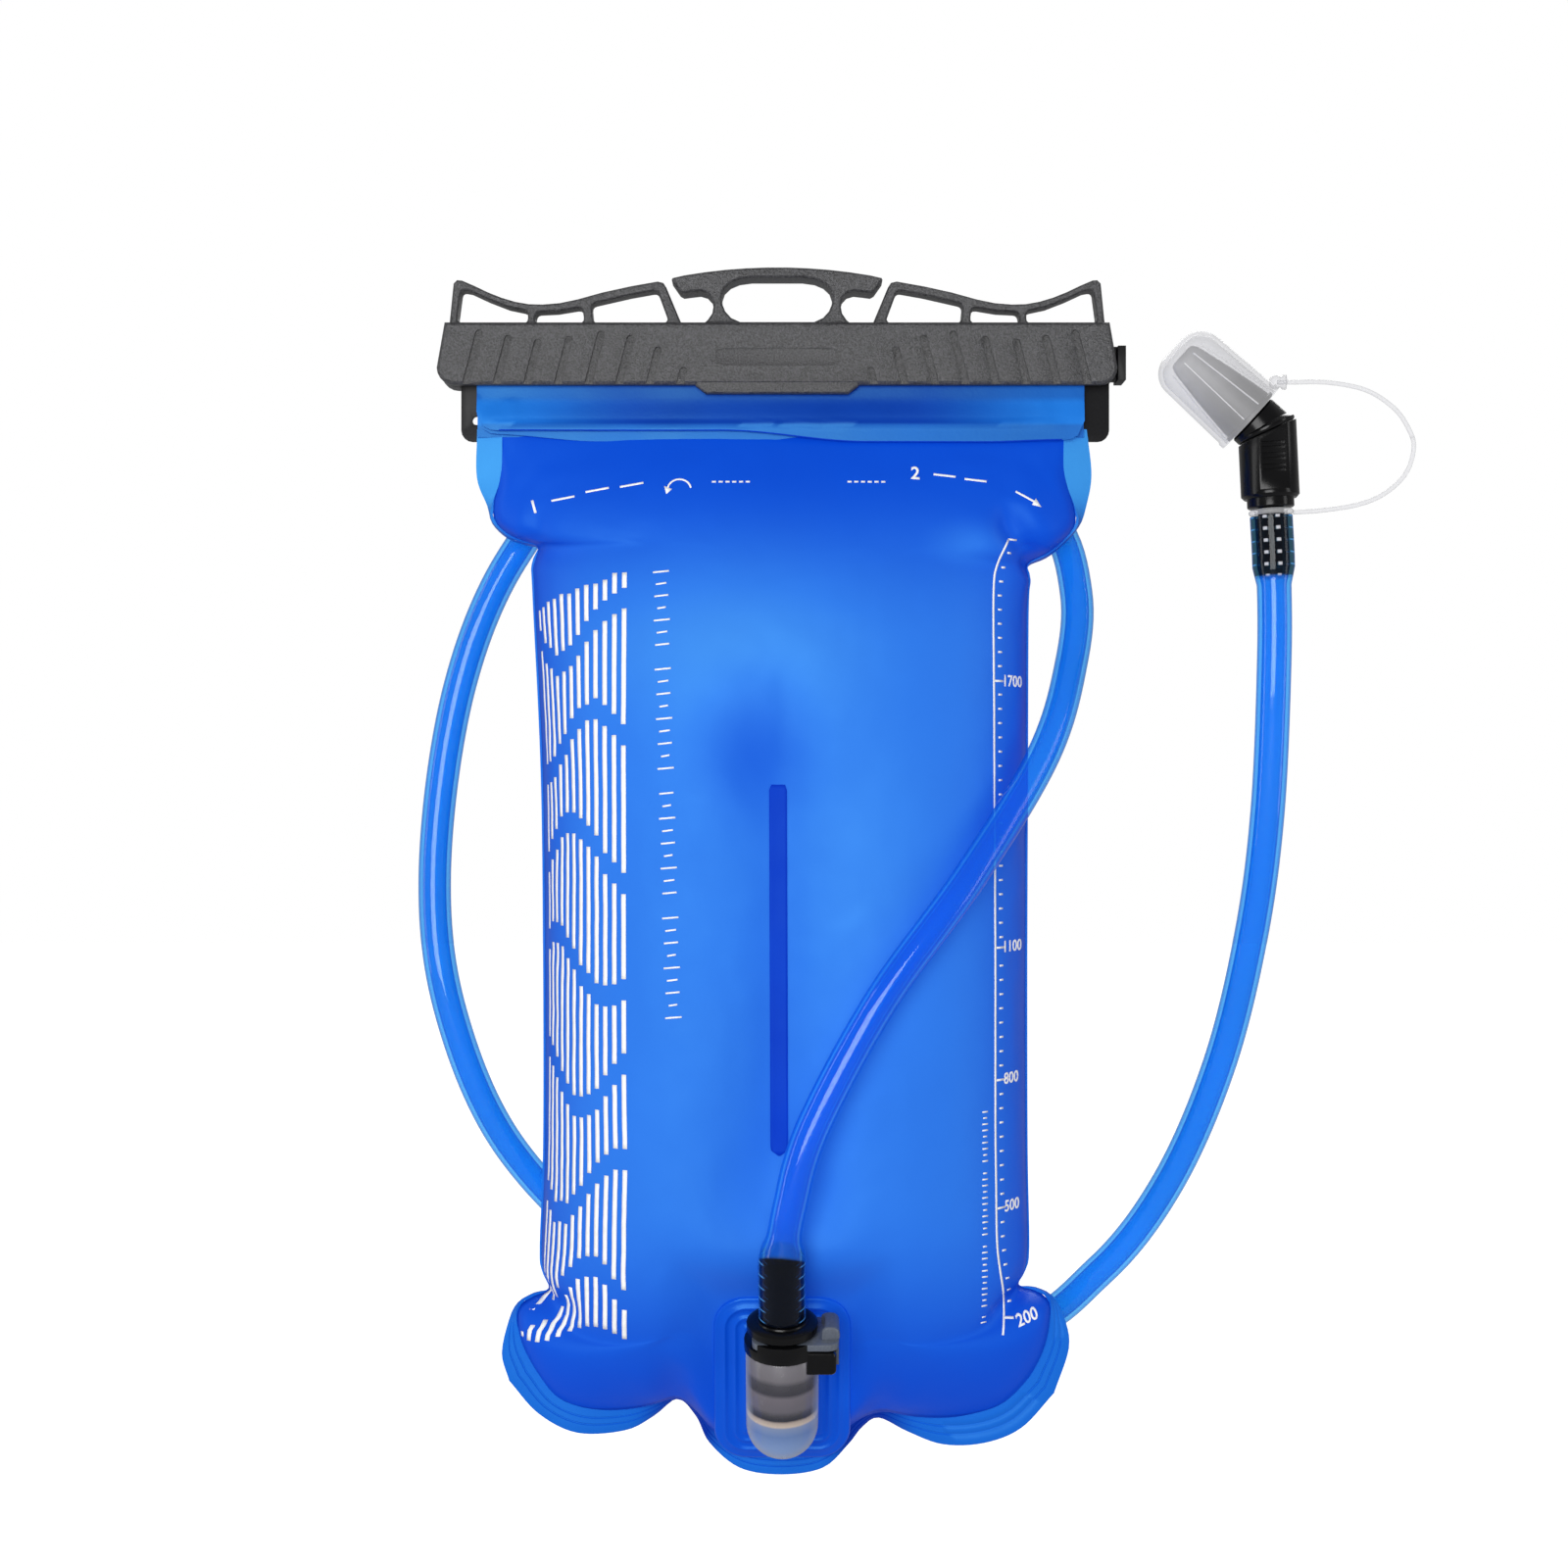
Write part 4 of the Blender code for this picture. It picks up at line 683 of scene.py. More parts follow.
# the cap and the cord carry a painted white glow
CAP_CLEAR = clear_material("cap_clear", (0.42, 0.42, 0.43), 0.25, 0.2, 0.55, 0.32)
CORD_CLEAR = clear_material("cord_clear", (0.74, 0.74, 0.75), 0.2, 0.25, 0.6, 0.03)
SILICONE = mouthpiece_material()
SEAL = moulded_material("seal_rubber", (0.66, 0.58, 0.45), 0.6, 900, 0.00003, 0.08)
STEEL = metal_material("spring_steel", (0.6, 0.6, 0.62), 0.2)
HOSE_BLUE = hose_material()
INK = ink_material()


# ---- pouch skin


def column_shares():
    t = np.linspace(-1, 1, COLUMNS + 1)
    return ((1 - EDGE_CROWDING) * t + EDGE_CROWDING * np.sin(t * math.pi / 2) + 1) / 2


def pouch_plan():
    """The seam plane of the pouch: a grid of points whose border is the seam (a Coons patch), in mm."""
    rows = stretches([LEFT_SEAM, RIGHT_SEAM], CELL) + [(len(LEFT_SEAM) - 2, 1.0)]
    left, right = (np.array([spline_at(seam, i, t) for i, t in rows]) for seam in (LEFT_SEAM, RIGHT_SEAM))
    shares = column_shares()
    line = smooth_line(BOTTOM_SEAM, 0.5)
    xs = line[0, 0] + shares * (line[-1, 0] - line[0, 0])
    bottom = np.stack([xs] + [np.interp(xs, line[:, 0], line[:, k]) for k in (1, 2)], axis=1)
    top = left[0] + shares[:, None] * (right[0] - left[0])
    height = (left[:, 2] + right[:, 2]) / 2
    v = ((height - height[-1]) / (height[0] - height[-1]))[:, None, None]
    s = shares[None, :, None]
    plan = ((1 - s) * left[:, None] + s * right[:, None] + v * top[None] + (1 - v) * bottom[None]
            - (1 - s) * v * left[0] - s * v * right[0] - (1 - s) * (1 - v) * left[-1]
            - s * (1 - v) * right[-1])
    near_seam = (np.abs(shares * 2 - 1) ** 7)[None, :]
    settled = SEAM_BACK * np.minimum(*openings(plan, bottom))
    plan[..., 1] = plan[..., 1] * near_seam + settled * (1 - near_seam)
    return plan, bottom


def openings(plan, bottom):
    """How far the films have opened out at each grid point, from the mouth down and from the foot up."""
    top_gap = np.maximum(plan[0, 0, 2] - plan[..., 2], 0)
    foot_gap = np.maximum(plan[..., 2] - bottom[None, :, 2], 0)
    rise_top = np.sin(math.pi / 2 * np.minimum(top_gap / TOP_RUN, 1)) ** 0.95
    rise_foot = (1 - (1 - np.minimum(foot_gap / BOTTOM_RUN, 1)) ** 2.4) ** 0.75
    return rise_top, rise_foot


def pad_plane(z):
    """y of the plane just behind the port pad at a height, in mm."""
    point = PORT @ Vector((0, (PAD_FACE + 2.0) * MM, 0))
    normal = PORT.to_3x3() @ Vector((0, 1, 0))
    return (point.y / MM) - (z - point.z / MM) * normal.z / normal.y


def pad_share(x, z):
    """1 inside the port pad's outline seen from the front, fading to 0 outside."""
    low = (PORT @ Vector((0, PAD_FACE * MM, PAD_LOW * MM))).z / MM
    high = (PORT @ Vector((0, PAD_FACE * MM, PAD_HIGH * MM))).z / MM
    mid = PORT_POS.x / MM
    away = np.maximum(np.maximum(np.abs(x - mid) - PAD_HALF, z - high), low - z)
    return 1 - smoothstep(-1.0, 16.0, away)


def film_depths(plan, bottom):
    """How far the front and back films stand off the seam plane, for every grid point."""
    x, z = plan[..., 0], plan[..., 2]
    across = np.abs(column_shares() * 2 - 1)[None, :]
    rise_top, rise_foot = openings(plan, bottom)
    opening = rise_top * rise_foot
    inside = (smoothstep(WELD_BOTTOM - 32, WELD_BOTTOM + 8, z)
              * (1 - smoothstep(WELD_TOP - 8, WELD_TOP + 36, z)))
    valley = inside * np.exp(-(x / VALLEY_HALF) ** 2)
    above_port = np.exp(-(x / 17.0) ** 2 - ((z + 262.0) / 20.0) ** 2)
    crest = (FRONT_DEPTH - PORT_HOLLOW * above_port) * (1 - VALLEY_SHARE * valley)
    front = crest * opening * (1 - across ** 2.2) ** (1 / 2.1)
    back = BACK_DEPTH * opening * (1 - across ** 3.5) ** 0.5 * (1 - 0.5 * valley)
    return front, back


def pouch_skin():
    """The closed two-film skin before the simulation, its grid of front indices and the fixed points."""
    plan, bottom = pouch_plan()
    front, back = film_depths(plan, bottom)
    rows, columns = front.shape
    front_y = plan[..., 1] - front
    share = pad_share(plan[..., 0], plan[..., 2])
    flat = np.maximum(front_y, pad_plane(plan[..., 2]))
    front_y = front_y + (np.minimum(flat, plan[..., 1]) - front_y) * share
    verts, faces = [], []
    front_index, back_index = np.zeros((2, rows, columns), int)
    for j in range(rows):
        for i in range(columns):
            border = j in (0, rows - 1) or i in (0, columns - 1)
            front_index[j, i] = back_index[j, i] = len(verts)
            x, y, z = plan[j, i]
            verts.append((x, y if border else front_y[j, i], z))
            if not border:
                back_index[j, i] = len(verts)
                verts.append((x, y + back[j, i], z))
    for j in range(rows - 1):
        for i in range(columns - 1):
            for index, turn in ((front_index, 1), (back_index, -1)):
                quad = (index[j, i], index[j + 1, i], index[j + 1, i + 1], index[j, i + 1])
                faces.append([int(k) for k in quad[::turn]])
    x, z = plan[..., 0], plan[..., 2]
    weld = (np.abs(x) < WELD_HALF + 1) & (z > WELD_BOTTOM - 1) & (z < WELD_TOP + 1)
    fixed = np.concatenate([
        front_index[[0, 1, -1], :].ravel(), front_index[:, [0, -1]].ravel(), front_index[weld],
        back_index[weld], front_index[share > 0.97]])
    return mesh_piece("pouch_films", verts, faces), front_index, {int(k) for k in fixed}


def points_of(mesh, kind="co"):
    values = np.zeros(len(mesh.vertices) * 3)
    mesh.vertices.foreach_get(kind, values)
    return values.reshape(-1, 3)


def set_points(mesh, co):
    mesh.vertices.foreach_set("co", co.ravel())
    mesh.update()


CLOTH = {"quality": 6, "mass": 0.0004, "vertex_group_mass": "fixed", "tension_stiffness": 8,
         "compression_stiffness": 8, "shear_stiffness": 4, "bending_stiffness": 0.6, "shrink_min": -0.002,
         "air_damping": 4, "use_pressure": True, "uniform_pressure_force": 3.5}
SIM_FRAMES = 18
MOVE_LIMIT = 3.0 * MM


def inflate(obj, fixed):
    """Blow the skin up against its fixed seams and welds with Cloth, and keep every move short."""
    rest = points_of(obj.data)
    obj.vertex_groups.new(name="fixed").add(sorted(fixed), 1.0, "REPLACE")
    cloth = obj.modifiers.new("cloth", "CLOTH")
    for key, value in CLOTH.items():
        setattr(cloth.settings, key, value)
    cloth.settings.effector_weights.gravity = 0
    cloth.collision_settings.use_collision = False
    cloth.point_cache.frame_end = SIM_FRAMES
    scene = bpy.context.scene
    scene.frame_start = 1
    scene.frame_end = SIM_FRAMES
    for number in range(1, SIM_FRAMES + 1):
        scene.frame_set(number)
    bake(obj)
    scene.frame_set(1)
    obj.vertex_groups.clear()
    move = points_of(obj.data) - rest
    length = np.linalg.norm(move, axis=1)[:, None]
    move *= np.minimum(1.0, MOVE_LIMIT / np.maximum(length, 1e-9))
    set_points(obj.data, rest + move)


# Creases pressed into the front film: two ends in (x, z) mm, half width and depth in mm
CREASES = (
    ((73.6, -82.0), (64.0, -66.5), 2.6, -5.5), ((70.0, -86.0), (56.0, -72.0), 5.5, 1.6),
    ((80.0, -76.0), (70.0, -62.0), 4.5, 1.0),
    ((-70.6, -77.5), (-69.0, -68.0), 1.8, -2.2), ((-74.5, -75.5), (-71.0, -66.0), 3.0, 0.9),
    ((-66.5, -296.5), (-56.0, -301.0), 2.4, -2.2), ((-64.0, -291.0), (-55.0, -287.0), 4.0, 0.8),
    ((70.4, -295.4), (60.5, -301.5), 2.2, -2.0), ((66.0, -289.0), (58.0, -286.0), 4.0, 0.8),
    ((-29.6, -327.0), (-27.5, -314.0), 3.4, -1.6), ((30.6, -331.0), (28.0, -318.0), 3.4, -1.6),
    ((-34.0, -328.0), (-40.0, -314.0), 3.5, 0.7), ((35.5, -331.5), (41.0, -318.0), 3.5, 0.7))


def press_creases(obj):
    """Push the front film in or out along each crease, fading towards the crease's inner end."""
    co, normals = points_of(obj.data), points_of(obj.data, "normal")
    x, z = co[:, 0] / MM, co[:, 2] / MM
    amount = np.zeros(len(co))
    for (x0, z0), (x1, z1), half, depth in CREASES:
        along = ((x - x0) * (x1 - x0) + (z - z0) * (z1 - z0)) / math.hypot(x1 - x0, z1 - z0) ** 2
        near = np.clip(along, 0, 1)
        away = np.hypot(x - x0 - near * (x1 - x0), z - z0 - near * (z1 - z0))
        amount += depth * np.exp(-(away / half) ** 2) * (1 - smoothstep(0.6, 1.05, along))
    amount *= smoothstep(0.05, 0.5, -normals[:, 1])
    set_points(obj.data, co + normals * (amount * MM)[:, None])


def keep_seam_sharp(obj, index):
    """Hold the seam's edges in place when the skin is smoothed."""
    seam = {int(k) for k in np.concatenate([index[0], index[-1], index[:, 0], index[:, -1]])}
    crease = obj.data.attributes.new("crease_edge", "FLOAT", "EDGE")
    for edge in obj.data.edges:
        if edge.vertices[0] in seam and edge.vertices[1] in seam:
            crease.data[edge.index].value = 1.0


def build_pouch():
    obj, front_index, fixed = pouch_skin()
    tidy(obj)
    obj.data.shade_smooth()
    inflate(obj, fixed)
    press_creases(obj)
    keep_seam_sharp(obj, front_index)
    modifier(obj, "SUBSURF", levels=1, render_levels=1)
    bake(obj)
    obj.data.shade_smooth()
    return finish_piece(obj, FILM, replaces=("front_film", "back_film"))


# ---- the film as a surface to build on

SAMPLE_X = 0.5                      # spacing of the depths kept for the film, mm
SAMPLE_Z = 1.0
INK_THICK = 0.05


class FilmMap:
    """Depth of the pouch's front face over (x, z), and lengths measured along the film."""

    def __init__(self, obj):
        bm = bmesh.new()
        bm.from_mesh(obj.data)
        tree = BVHTree.FromBMesh(bm)
        bm.free()
        self.xs = np.arange(-92.0, 92.01, SAMPLE_X)
        self.zs = np.arange(-346.0, -44.0, SAMPLE_Z)
        self.depth = np.full((len(self.zs), len(self.xs)), np.nan)
        for j, z in enumerate(self.zs):
            for i, x in enumerate(self.xs):
                hit = tree.ray_cast(Vector((x * MM, -0.2, z * MM)), Vector((0, 1, 0)))[0]
                if hit is not None:
                    self.depth[j, i] = hit.y / MM
        for row in self.depth:
            known = np.isfinite(row)
            if known.any():
                row[~known] = np.interp(self.xs[~known], self.xs[known], row[known])

    def y(self, x, z):
        """Depth of the film at (x, z) in mm, from the four nearest samples."""
        i = np.clip((np.asarray(x, float) - self.xs[0]) / SAMPLE_X, 0, len(self.xs) - 1.001)
        j = np.clip((np.asarray(z, float) - self.zs[0]) / SAMPLE_Z, 0, len(self.zs) - 1.001)
        i0, j0 = i.astype(int), j.astype(int)
        fi, fj = i - i0, j - j0
        d = self.depth
        return ((d[j0, i0] * (1 - fi) + d[j0, i0 + 1] * fi) * (1 - fj)
                + (d[j0 + 1, i0] * (1 - fi) + d[j0 + 1, i0 + 1] * fi) * fj)

    def x_at(self, length, z):
        """x of the point that lies a length along the film from the middle line, at height z."""
        row = self.depth[int(round((z - self.zs[0]) / SAMPLE_Z))]
        reach = reaches(np.stack([self.xs, row], axis=1))
        return float(np.interp(length, reach - np.interp(0.0, self.xs, reach), self.xs))


def decal(name, film, shapes, material=INK, lift=0.15, cuts=0):
    """Flat shapes (lists of (x, z) corners in mm) laid on the film as a thin skin."""
    verts, faces = [], []
    for shape in shapes:
        faces.append(tuple(range(len(verts), len(verts) + len(shape))))
        verts += [(x, float(film.y(x, z)) - lift, z) for x, z in shape]
    obj = mesh_piece(name, verts, faces)
    bm = bmesh.new()
    bm.from_mesh(obj.data)
    bmesh.ops.remove_doubles(bm, verts=bm.verts, dist=0.00001)
    if cuts:
        bmesh.ops.triangulate(bm, faces=bm.faces)
        bmesh.ops.subdivide_edges(bm, edges=bm.edges, cuts=cuts, use_grid_fill=True)
        for vert in bm.verts:
            vert.co.y = (float(film.y(vert.co.x / MM, vert.co.z / MM)) - lift) * MM
    bmesh.ops.recalc_face_normals(bm, faces=bm.faces)
    if sum(f.normal.y for f in bm.faces) > 0:
        bmesh.ops.reverse_faces(bm, faces=bm.faces)
    bm.to_mesh(obj.data)
    bm.free()
    modifier(obj, "SOLIDIFY", thickness=INK_THICK * MM, offset=1.0)
    bake(obj)
    return finish_piece(obj, material)


def bar_quads(centre_line, half):
    """Quads of a line of even width through (x, z) points."""
    pts = np.asarray(centre_line, float)
    ahead = np.gradient(pts, axis=0)
    ahead /= np.linalg.norm(ahead, axis=1)[:, None]
    side = np.stack([-ahead[:, 1], ahead[:, 0]], axis=1) * half
    left, right = pts + side, pts - side
    return [(tuple(left[k]), tuple(left[k + 1]), tuple(right[k + 1]), tuple(right[k]))
            for k in range(len(pts) - 1)]


def segment(a, b, half, pieces=1):
    a, b = np.array(a, float), np.array(b, float)
    return bar_quads([a + (b - a) * k / pieces for k in range(pieces + 1)], half)


# ---- prints

SCALE_LINE = ((67.0, -76.6), (63.6, -84), (62.4, -92), (62.2, -120), (62.4, -160), (62.6, -200), (62.6, -240),
              (62.8, -262), (63.1, -278), (63.9, -286), (65.3, -294), (65.9, -299), (65.3, -304),
              (65.0, -306))
# Each number of the scale: height and middle in mm, turn in degrees, squeeze
NUMBERS = (("1700", -117.8, 68.2, 0, 0.72), ("1100", -194.4, 68.2, 0, 0.72), ("800", -232.4, 67.8, 0, 0.72),
           ("500", -269.2, 68.0, 0, 0.72), ("200", -301.8, 72.4, 18, 0.95))
TICK_PITCH = 4.1


def scale_x(z):
    line = np.array(SCALE_LINE)[::-1]
    return float(np.interp(z, line[:, 1], line[:, 0]))


def print_scale(film):
    """The scale's long line with its ticks, and a longer tick at each number."""
    quads = bar_quads(smooth_line(SCALE_LINE, 1.5), 0.3)
    top, foot = SCALE_LINE[0][1], SCALE_LINE[-1][1]
    marks = [number[1] for number in NUMBERS]
    ticks = [(top, 0.0, 2.6, 0.28, 2)] + [(mark, 0.0, 2.9, 0.3, 2) for mark in marks]
    z = top - TICK_PITCH
    while z > foot:
        if min(abs(z - m) for m in marks) > 0.6 * TICK_PITCH:
            ticks.append((z, 1.3, 2.5, 0.28, 1))
        z -= TICK_PITCH
    for z, near, far, half, pieces in ticks:
        quads += segment((scale_x(z) + near, z), (scale_x(z) + far, z), half, pieces)
    decal("print_scale", film, quads)


def text_shapes(word, size):
    """The flat shapes of a short label, as polygons of (x, z) in mm about its middle."""
    curve = bpy.data.curves.new("label", "FONT")
    for key, value in (("body", word), ("size", size), ("align_x", "CENTER"), ("align_y", "CENTER"),
                       ("resolution_u", 3), ("offset", 0.02 * size)):
        setattr(curve, key, value)
    obj = add_object("label", curve)
    mesh = evaluated_mesh(obj)
    bpy.data.objects.remove(obj, do_unlink=True)
    return [[tuple(mesh.vertices[i].co[:2]) for i in face.vertices] for face in mesh.polygons]


def place_shapes(shapes, x, z, turn=0.0, squeeze=1.0):
    c, s = math.cos(math.radians(turn)), math.sin(math.radians(turn))
    return [[(x + (u * c - w * s) * squeeze, z + u * s + w * c) for u, w in shape] for shape in shapes]


def print_numbers(film):
    quads = []
    for word, z, x, turn, squeeze in NUMBERS:
        quads += place_shapes(text_shapes(word, 4.6), x, z, turn, squeeze)
    decal("print_numbers", film, quads, cuts=2)


STRIPE_COUNT = 12
STRIPE_PITCH = 3.0
STRIPE_START = -44.0                # length along the film from the middle line
STRIPE_HALF = 0.72


def stripe_gaps(index):
    """Heights where stripe number index is broken: two waves that drift across the column."""
    low, high = -310.0, -88.0
    gaps = []
    for k in range(7):
        gap = low + (high - low) * (k + 0.5) / 7 + 9.0 * math.sin(index * 0.42 + k * 1.3)
        gaps.append((gap - 2.2, gap + 2.2))
    return gaps


def print_stripes(film):
    """A column of abstract wave-broken stripes up the left side."""
    quads = []
    for index in range(STRIPE_COUNT):
        length = STRIPE_START - STRIPE_PITCH * index
        gaps = stripe_gaps(index)
        edges = []
        for z in np.arange(-306.0 + 3 * math.sin(index * 0.5), -86.0 - 0.9 * index, 1.5):
            if any(a < z < b for a, b in gaps):
                edges = []
                continue
            edges.append([(film.x_at(length + side, z), z) for side in (STRIPE_HALF, -STRIPE_HALF)])
            if len(edges) > 1:
                below, above = edges[-2:]
                quads.append((below[0], above[0], above[1], below[1]))
    decal("print_stripes", film, quads)


def print_rungs(film):
    """Two columns of plain short strokes, one beside the stripes and one beside the scale."""
    quads = []
    for k in range(38):
        x, z, reach = -33.0 + 0.11 * k, -87.0 - 3.5 * k, (2.3, 1.5, 2.0, 1.2)[k % 4]
        if k % 10 != 7:
            quads += segment((x - reach, z - 0.2), (x + reach, z + 0.2), 0.24, 3)
    for k in range(36):
        z, reach = -241.0 - 1.75 * k, (0.85, 0.6, 0.85)[k % 3]
        if k % 12 != 9:
            quads += segment((59.4 - reach, z), (59.4 + reach, z), 0.22)
    decal("print_rungs", film, quads)


def print_hints(film):
    """Fill-line dashes, two step numerals and their arrows under the mouth."""
    quads = []
    for k in range(6):
        for start in (-18.8, 20.3):
            x = start + 1.95 * k
            quads += segment((x, -60.2), (x + 1.2, -60.2), 0.27)
    quads += place_shapes(text_shapes("1", 5.4), -70.5, -67.2, 16)
    quads += place_shapes(text_shapes("2", 5.4), 40.0, -57.6, -3)
    for x, z, run, rise in ((-62, -64.8, 3.4, 0.6), (-52, -62.4, 3.4, 0.6), (-42, -61, 3.4, 0.6),
                            (48.5, -58.1, 3.2, -0.35), (57.5, -59.4, 3.2, -0.35), (72.2, -64.3, 3.0, -1.7)):
        quads += segment((x - run, z - rise), (x + run, z + rise), 0.3, 3)
    arc = [(-28.2 + 3.4 * math.cos(math.radians(a)), -62.6 + 3.2 * math.sin(math.radians(a)))
           for a in range(10, 171, 16)]
    quads += bar_quads(arc, 0.26)
    quads += [[(-32.6, -61.4), (-31.9, -64.0), (-30.3, -62.4)], [(76.6, -67.2), (73.8, -66.6), (75.0, -64.6)]]
    decal("print_hints", film, quads, cuts=1)


# ---- welded rim, mouth, centre weld, pad

RIM_THICK = 0.9
RIM_SHARES = (-0.1, 0.1, 0.26, 0.29, 0.32, 0.35, 0.55, 0.58, 0.61, 0.64, 0.9, 1.0)
RIM_DIPS = (0.0, 0.0, 0.0, 0.3, 0.3, 0.0, 0.0, 0.3, 0.3, 0.0, 0.0, 0.28)     # pressed lines, mm deep


def rim_lines():
    """The seam and the rim's outer edge, point for point, once round from the left of the mouth."""
    inner, outer = [], []
    for seam, edge in ((LEFT_SEAM, LEFT_EDGE), (BOTTOM_SEAM, BOTTOM_EDGE),
                       (RIGHT_SEAM[::-1], RIGHT_EDGE[::-1])):
        places = stretches([seam], 1.6)
        inner += [spline_at(seam, i, t) for i, t in places]
        outer += [spline_at(edge, i, t) for i, t in places]
    return np.array(inner + [RIGHT_SEAM[0]], float), np.array(outer + [RIGHT_EDGE[0]], float)


def build_rim():
    """The welded rim: a thin band from the seam to its outer edge, with two pressed lines at the foot."""
    inner, outer = rim_lines()
    face = np.cross(outer - inner, np.gradient((inner + outer) / 2, axis=0))
    face /= np.linalg.norm(face, axis=1)[:, None]
    for _ in range(3):
        face[1:-1] = (face[:-2] + 2 * face[1:-1] + face[2:]) / 4
    verts = []
    for sign in (1, -1):
        for a, b, out in zip(inner, outer, face):
            pressed = smoothstep(-294.0, -316.0, a[2])
            verts += [a + (b - a) * share + out * sign * (RIM_THICK / 2 - dip * pressed)
                      for share, dip in zip(RIM_SHARES, RIM_DIPS)]
    columns = len(RIM_SHARES)
    count = len(inner) * columns
    faces = grid_faces(len(inner), columns)
    faces += other_side(faces, count)
    for a in range(0, count - columns, columns):
        faces += [(b, b + columns, b + columns + count, b + count) for b in (a, a + columns - 1)]
    for a in (0, count - columns):
        faces += [(a + i, a + i + 1, a + i + 1 + count, a + i + count) for i in range(columns - 1)]
    obj = mesh_piece("pouch_rim", verts, faces)
    tidy(obj, 50)
    return finish_piece(obj, EDGE_FILM)


MOUTH_LEFT = -87.6
MOUTH_RIGHT = 89.6
FOLD_TOP = -20.5
NECK_FOOT = -46.0
LIP_CORNER = 5.5
SLIDER_FOOT = -34.5
FLAP_ROWS = 26
SHEET_THICK = 0.42
# Each film over the mouth: y of its neck, radius of its fold and swell of its flap, in mm
OUTER_SHEET = (0.40, 1.125, 1.3)
INNER_SHEET = (-0.35, 0.375, 0.7)


def outer_lip(x):
    """Height of the outer lip: a little higher on the left half."""
    return -44.4 - 3.4 * smoothstep(-16.0, 26.0, x) + 0.7 * smoothstep(60.0, 84.0, x)


def inner_lip(x):
    return -47.4 + 2.2 * smoothstep(-52.0, -84.0, x) + 3.0 * smoothstep(-8.0, 24.0, x)


def flap_swell(x, z, bulge):
    """How far the flap stands forward at (x, z), in mm."""
    wave = 0.5 + 0.5 * np.sin(x * 0.055 + 0.6)
    return bulge * smoothstep(SLIDER_FOOT, -42.0, z) * (0.55 + 0.45 * wave)


def mouth_sheet(name, sheet, lip, pressed):
    """One film over the mouth: up the neck, over the fold and down to its lip, with pressed lines or not."""
    neck_y, radius, bulge = sheet
    xs = np.linspace(MOUTH_LEFT, MOUTH_RIGHT, 90)
    fold_y = neck_y - radius
    path = [(neck_y, z) for z in np.linspace(NECK_FOOT, FOLD_TOP, 7)]
    path += [(fold_y + radius * math.cos(a), FOLD_TOP + radius * math.sin(a))
             for a in np.linspace(0, math.pi, 9)[1:]]
    verts = [(x, y, z) for y, z in path for x in xs]
    for k in range(1, FLAP_ROWS + 1):
        for x in xs:
            edge = min(x - MOUTH_LEFT, MOUTH_RIGHT - x)
            corner = LIP_CORNER - math.sqrt(max(LIP_CORNER ** 2 - max(LIP_CORNER - edge, 0) ** 2, 0))
            z = FOLD_TOP + (lip(x) + corner - FOLD_TOP) * k / FLAP_ROWS
            ridge = 0.55 * math.exp(-((z + 42.6) / 0.55) ** 2) * smoothstep(4.0, 9.0, edge)
            ends = 0.35 * (math.exp(-((x + 77.5) / 0.7) ** 2) + math.exp(-((x - 76.9) / 0.7) ** 2))
            ends *= smoothstep(SLIDER_FOOT, SLIDER_FOOT - 2, z) * (1 - smoothstep(-41, -43, z))
            verts.append((x, fold_y - radius - flap_swell(x, z, bulge) - (ridge + ends) * pressed, z))
    obj = mesh_piece(name, verts, grid_faces(len(path) + FLAP_ROWS, len(xs), flip=True))
    tidy(obj)
    modifier(obj, "SOLIDIFY", thickness=SHEET_THICK * MM, offset=0.0)
    bake(obj)
    obj.data.shade_smooth()
    obj.data.set_sharp_from_angle(angle=math.radians(50))
    return finish_piece(obj, FLAP_FILM)


def build_mouth():
    """Both films, and a thin dark cord across the outer flap just above its lip: painted shade along the
    lip's edge.
    """
    mouth_sheet("mouth_back_film", OUTER_SHEET, outer_lip, True)
    mouth_sheet("mouth_front_film", INNER_SHEET, inner_lip, False)
    neck_y, radius, bulge = OUTER_SHEET
    face = neck_y - 2 * radius - SHEET_THICK / 2
    xs = np.linspace(-82.0, 82.0, 80) + (MOUTH_LEFT + MOUTH_RIGHT) / 2
    line = [(x, face - flap_swell(x, z, bulge), z) for x, z in zip(xs, outer_lip(xs) + 0.1)]
    # painted shade: a thin dark cord along the outer lip's edge
    finish_piece(tube("mouth_lip_shade", line, 0.17, sides=8), WELD_BLUE)


def build_centre_weld(film):
    """The weld that joins the films down the middle: a sunk strip with round ends."""
    def corner(u, z):
        end = min(z - WELD_BOTTOM, WELD_TOP - z)
        half = WELD_HALF * math.sqrt(max(1 - (1 - min(end / WELD_HALF, 1)) ** 2, 0.02))
        return 0.3 + u * half - 0.35 * (z - WELD_TOP) / 100, z

    zs = np.arange(WELD_BOTTOM, WELD_TOP + 0.1, 1.5)
    across = np.linspace(-1, 1, 7)
    quads = [[corner(a, z0), corner(b, z0), corner(b, z1), corner(a, z1)]
             for z0, z1 in zip(zs, zs[1:]) for a, b in zip(across, across[1:])]
    decal("centre_weld", film, quads, WELD_BLUE, lift=0.22)


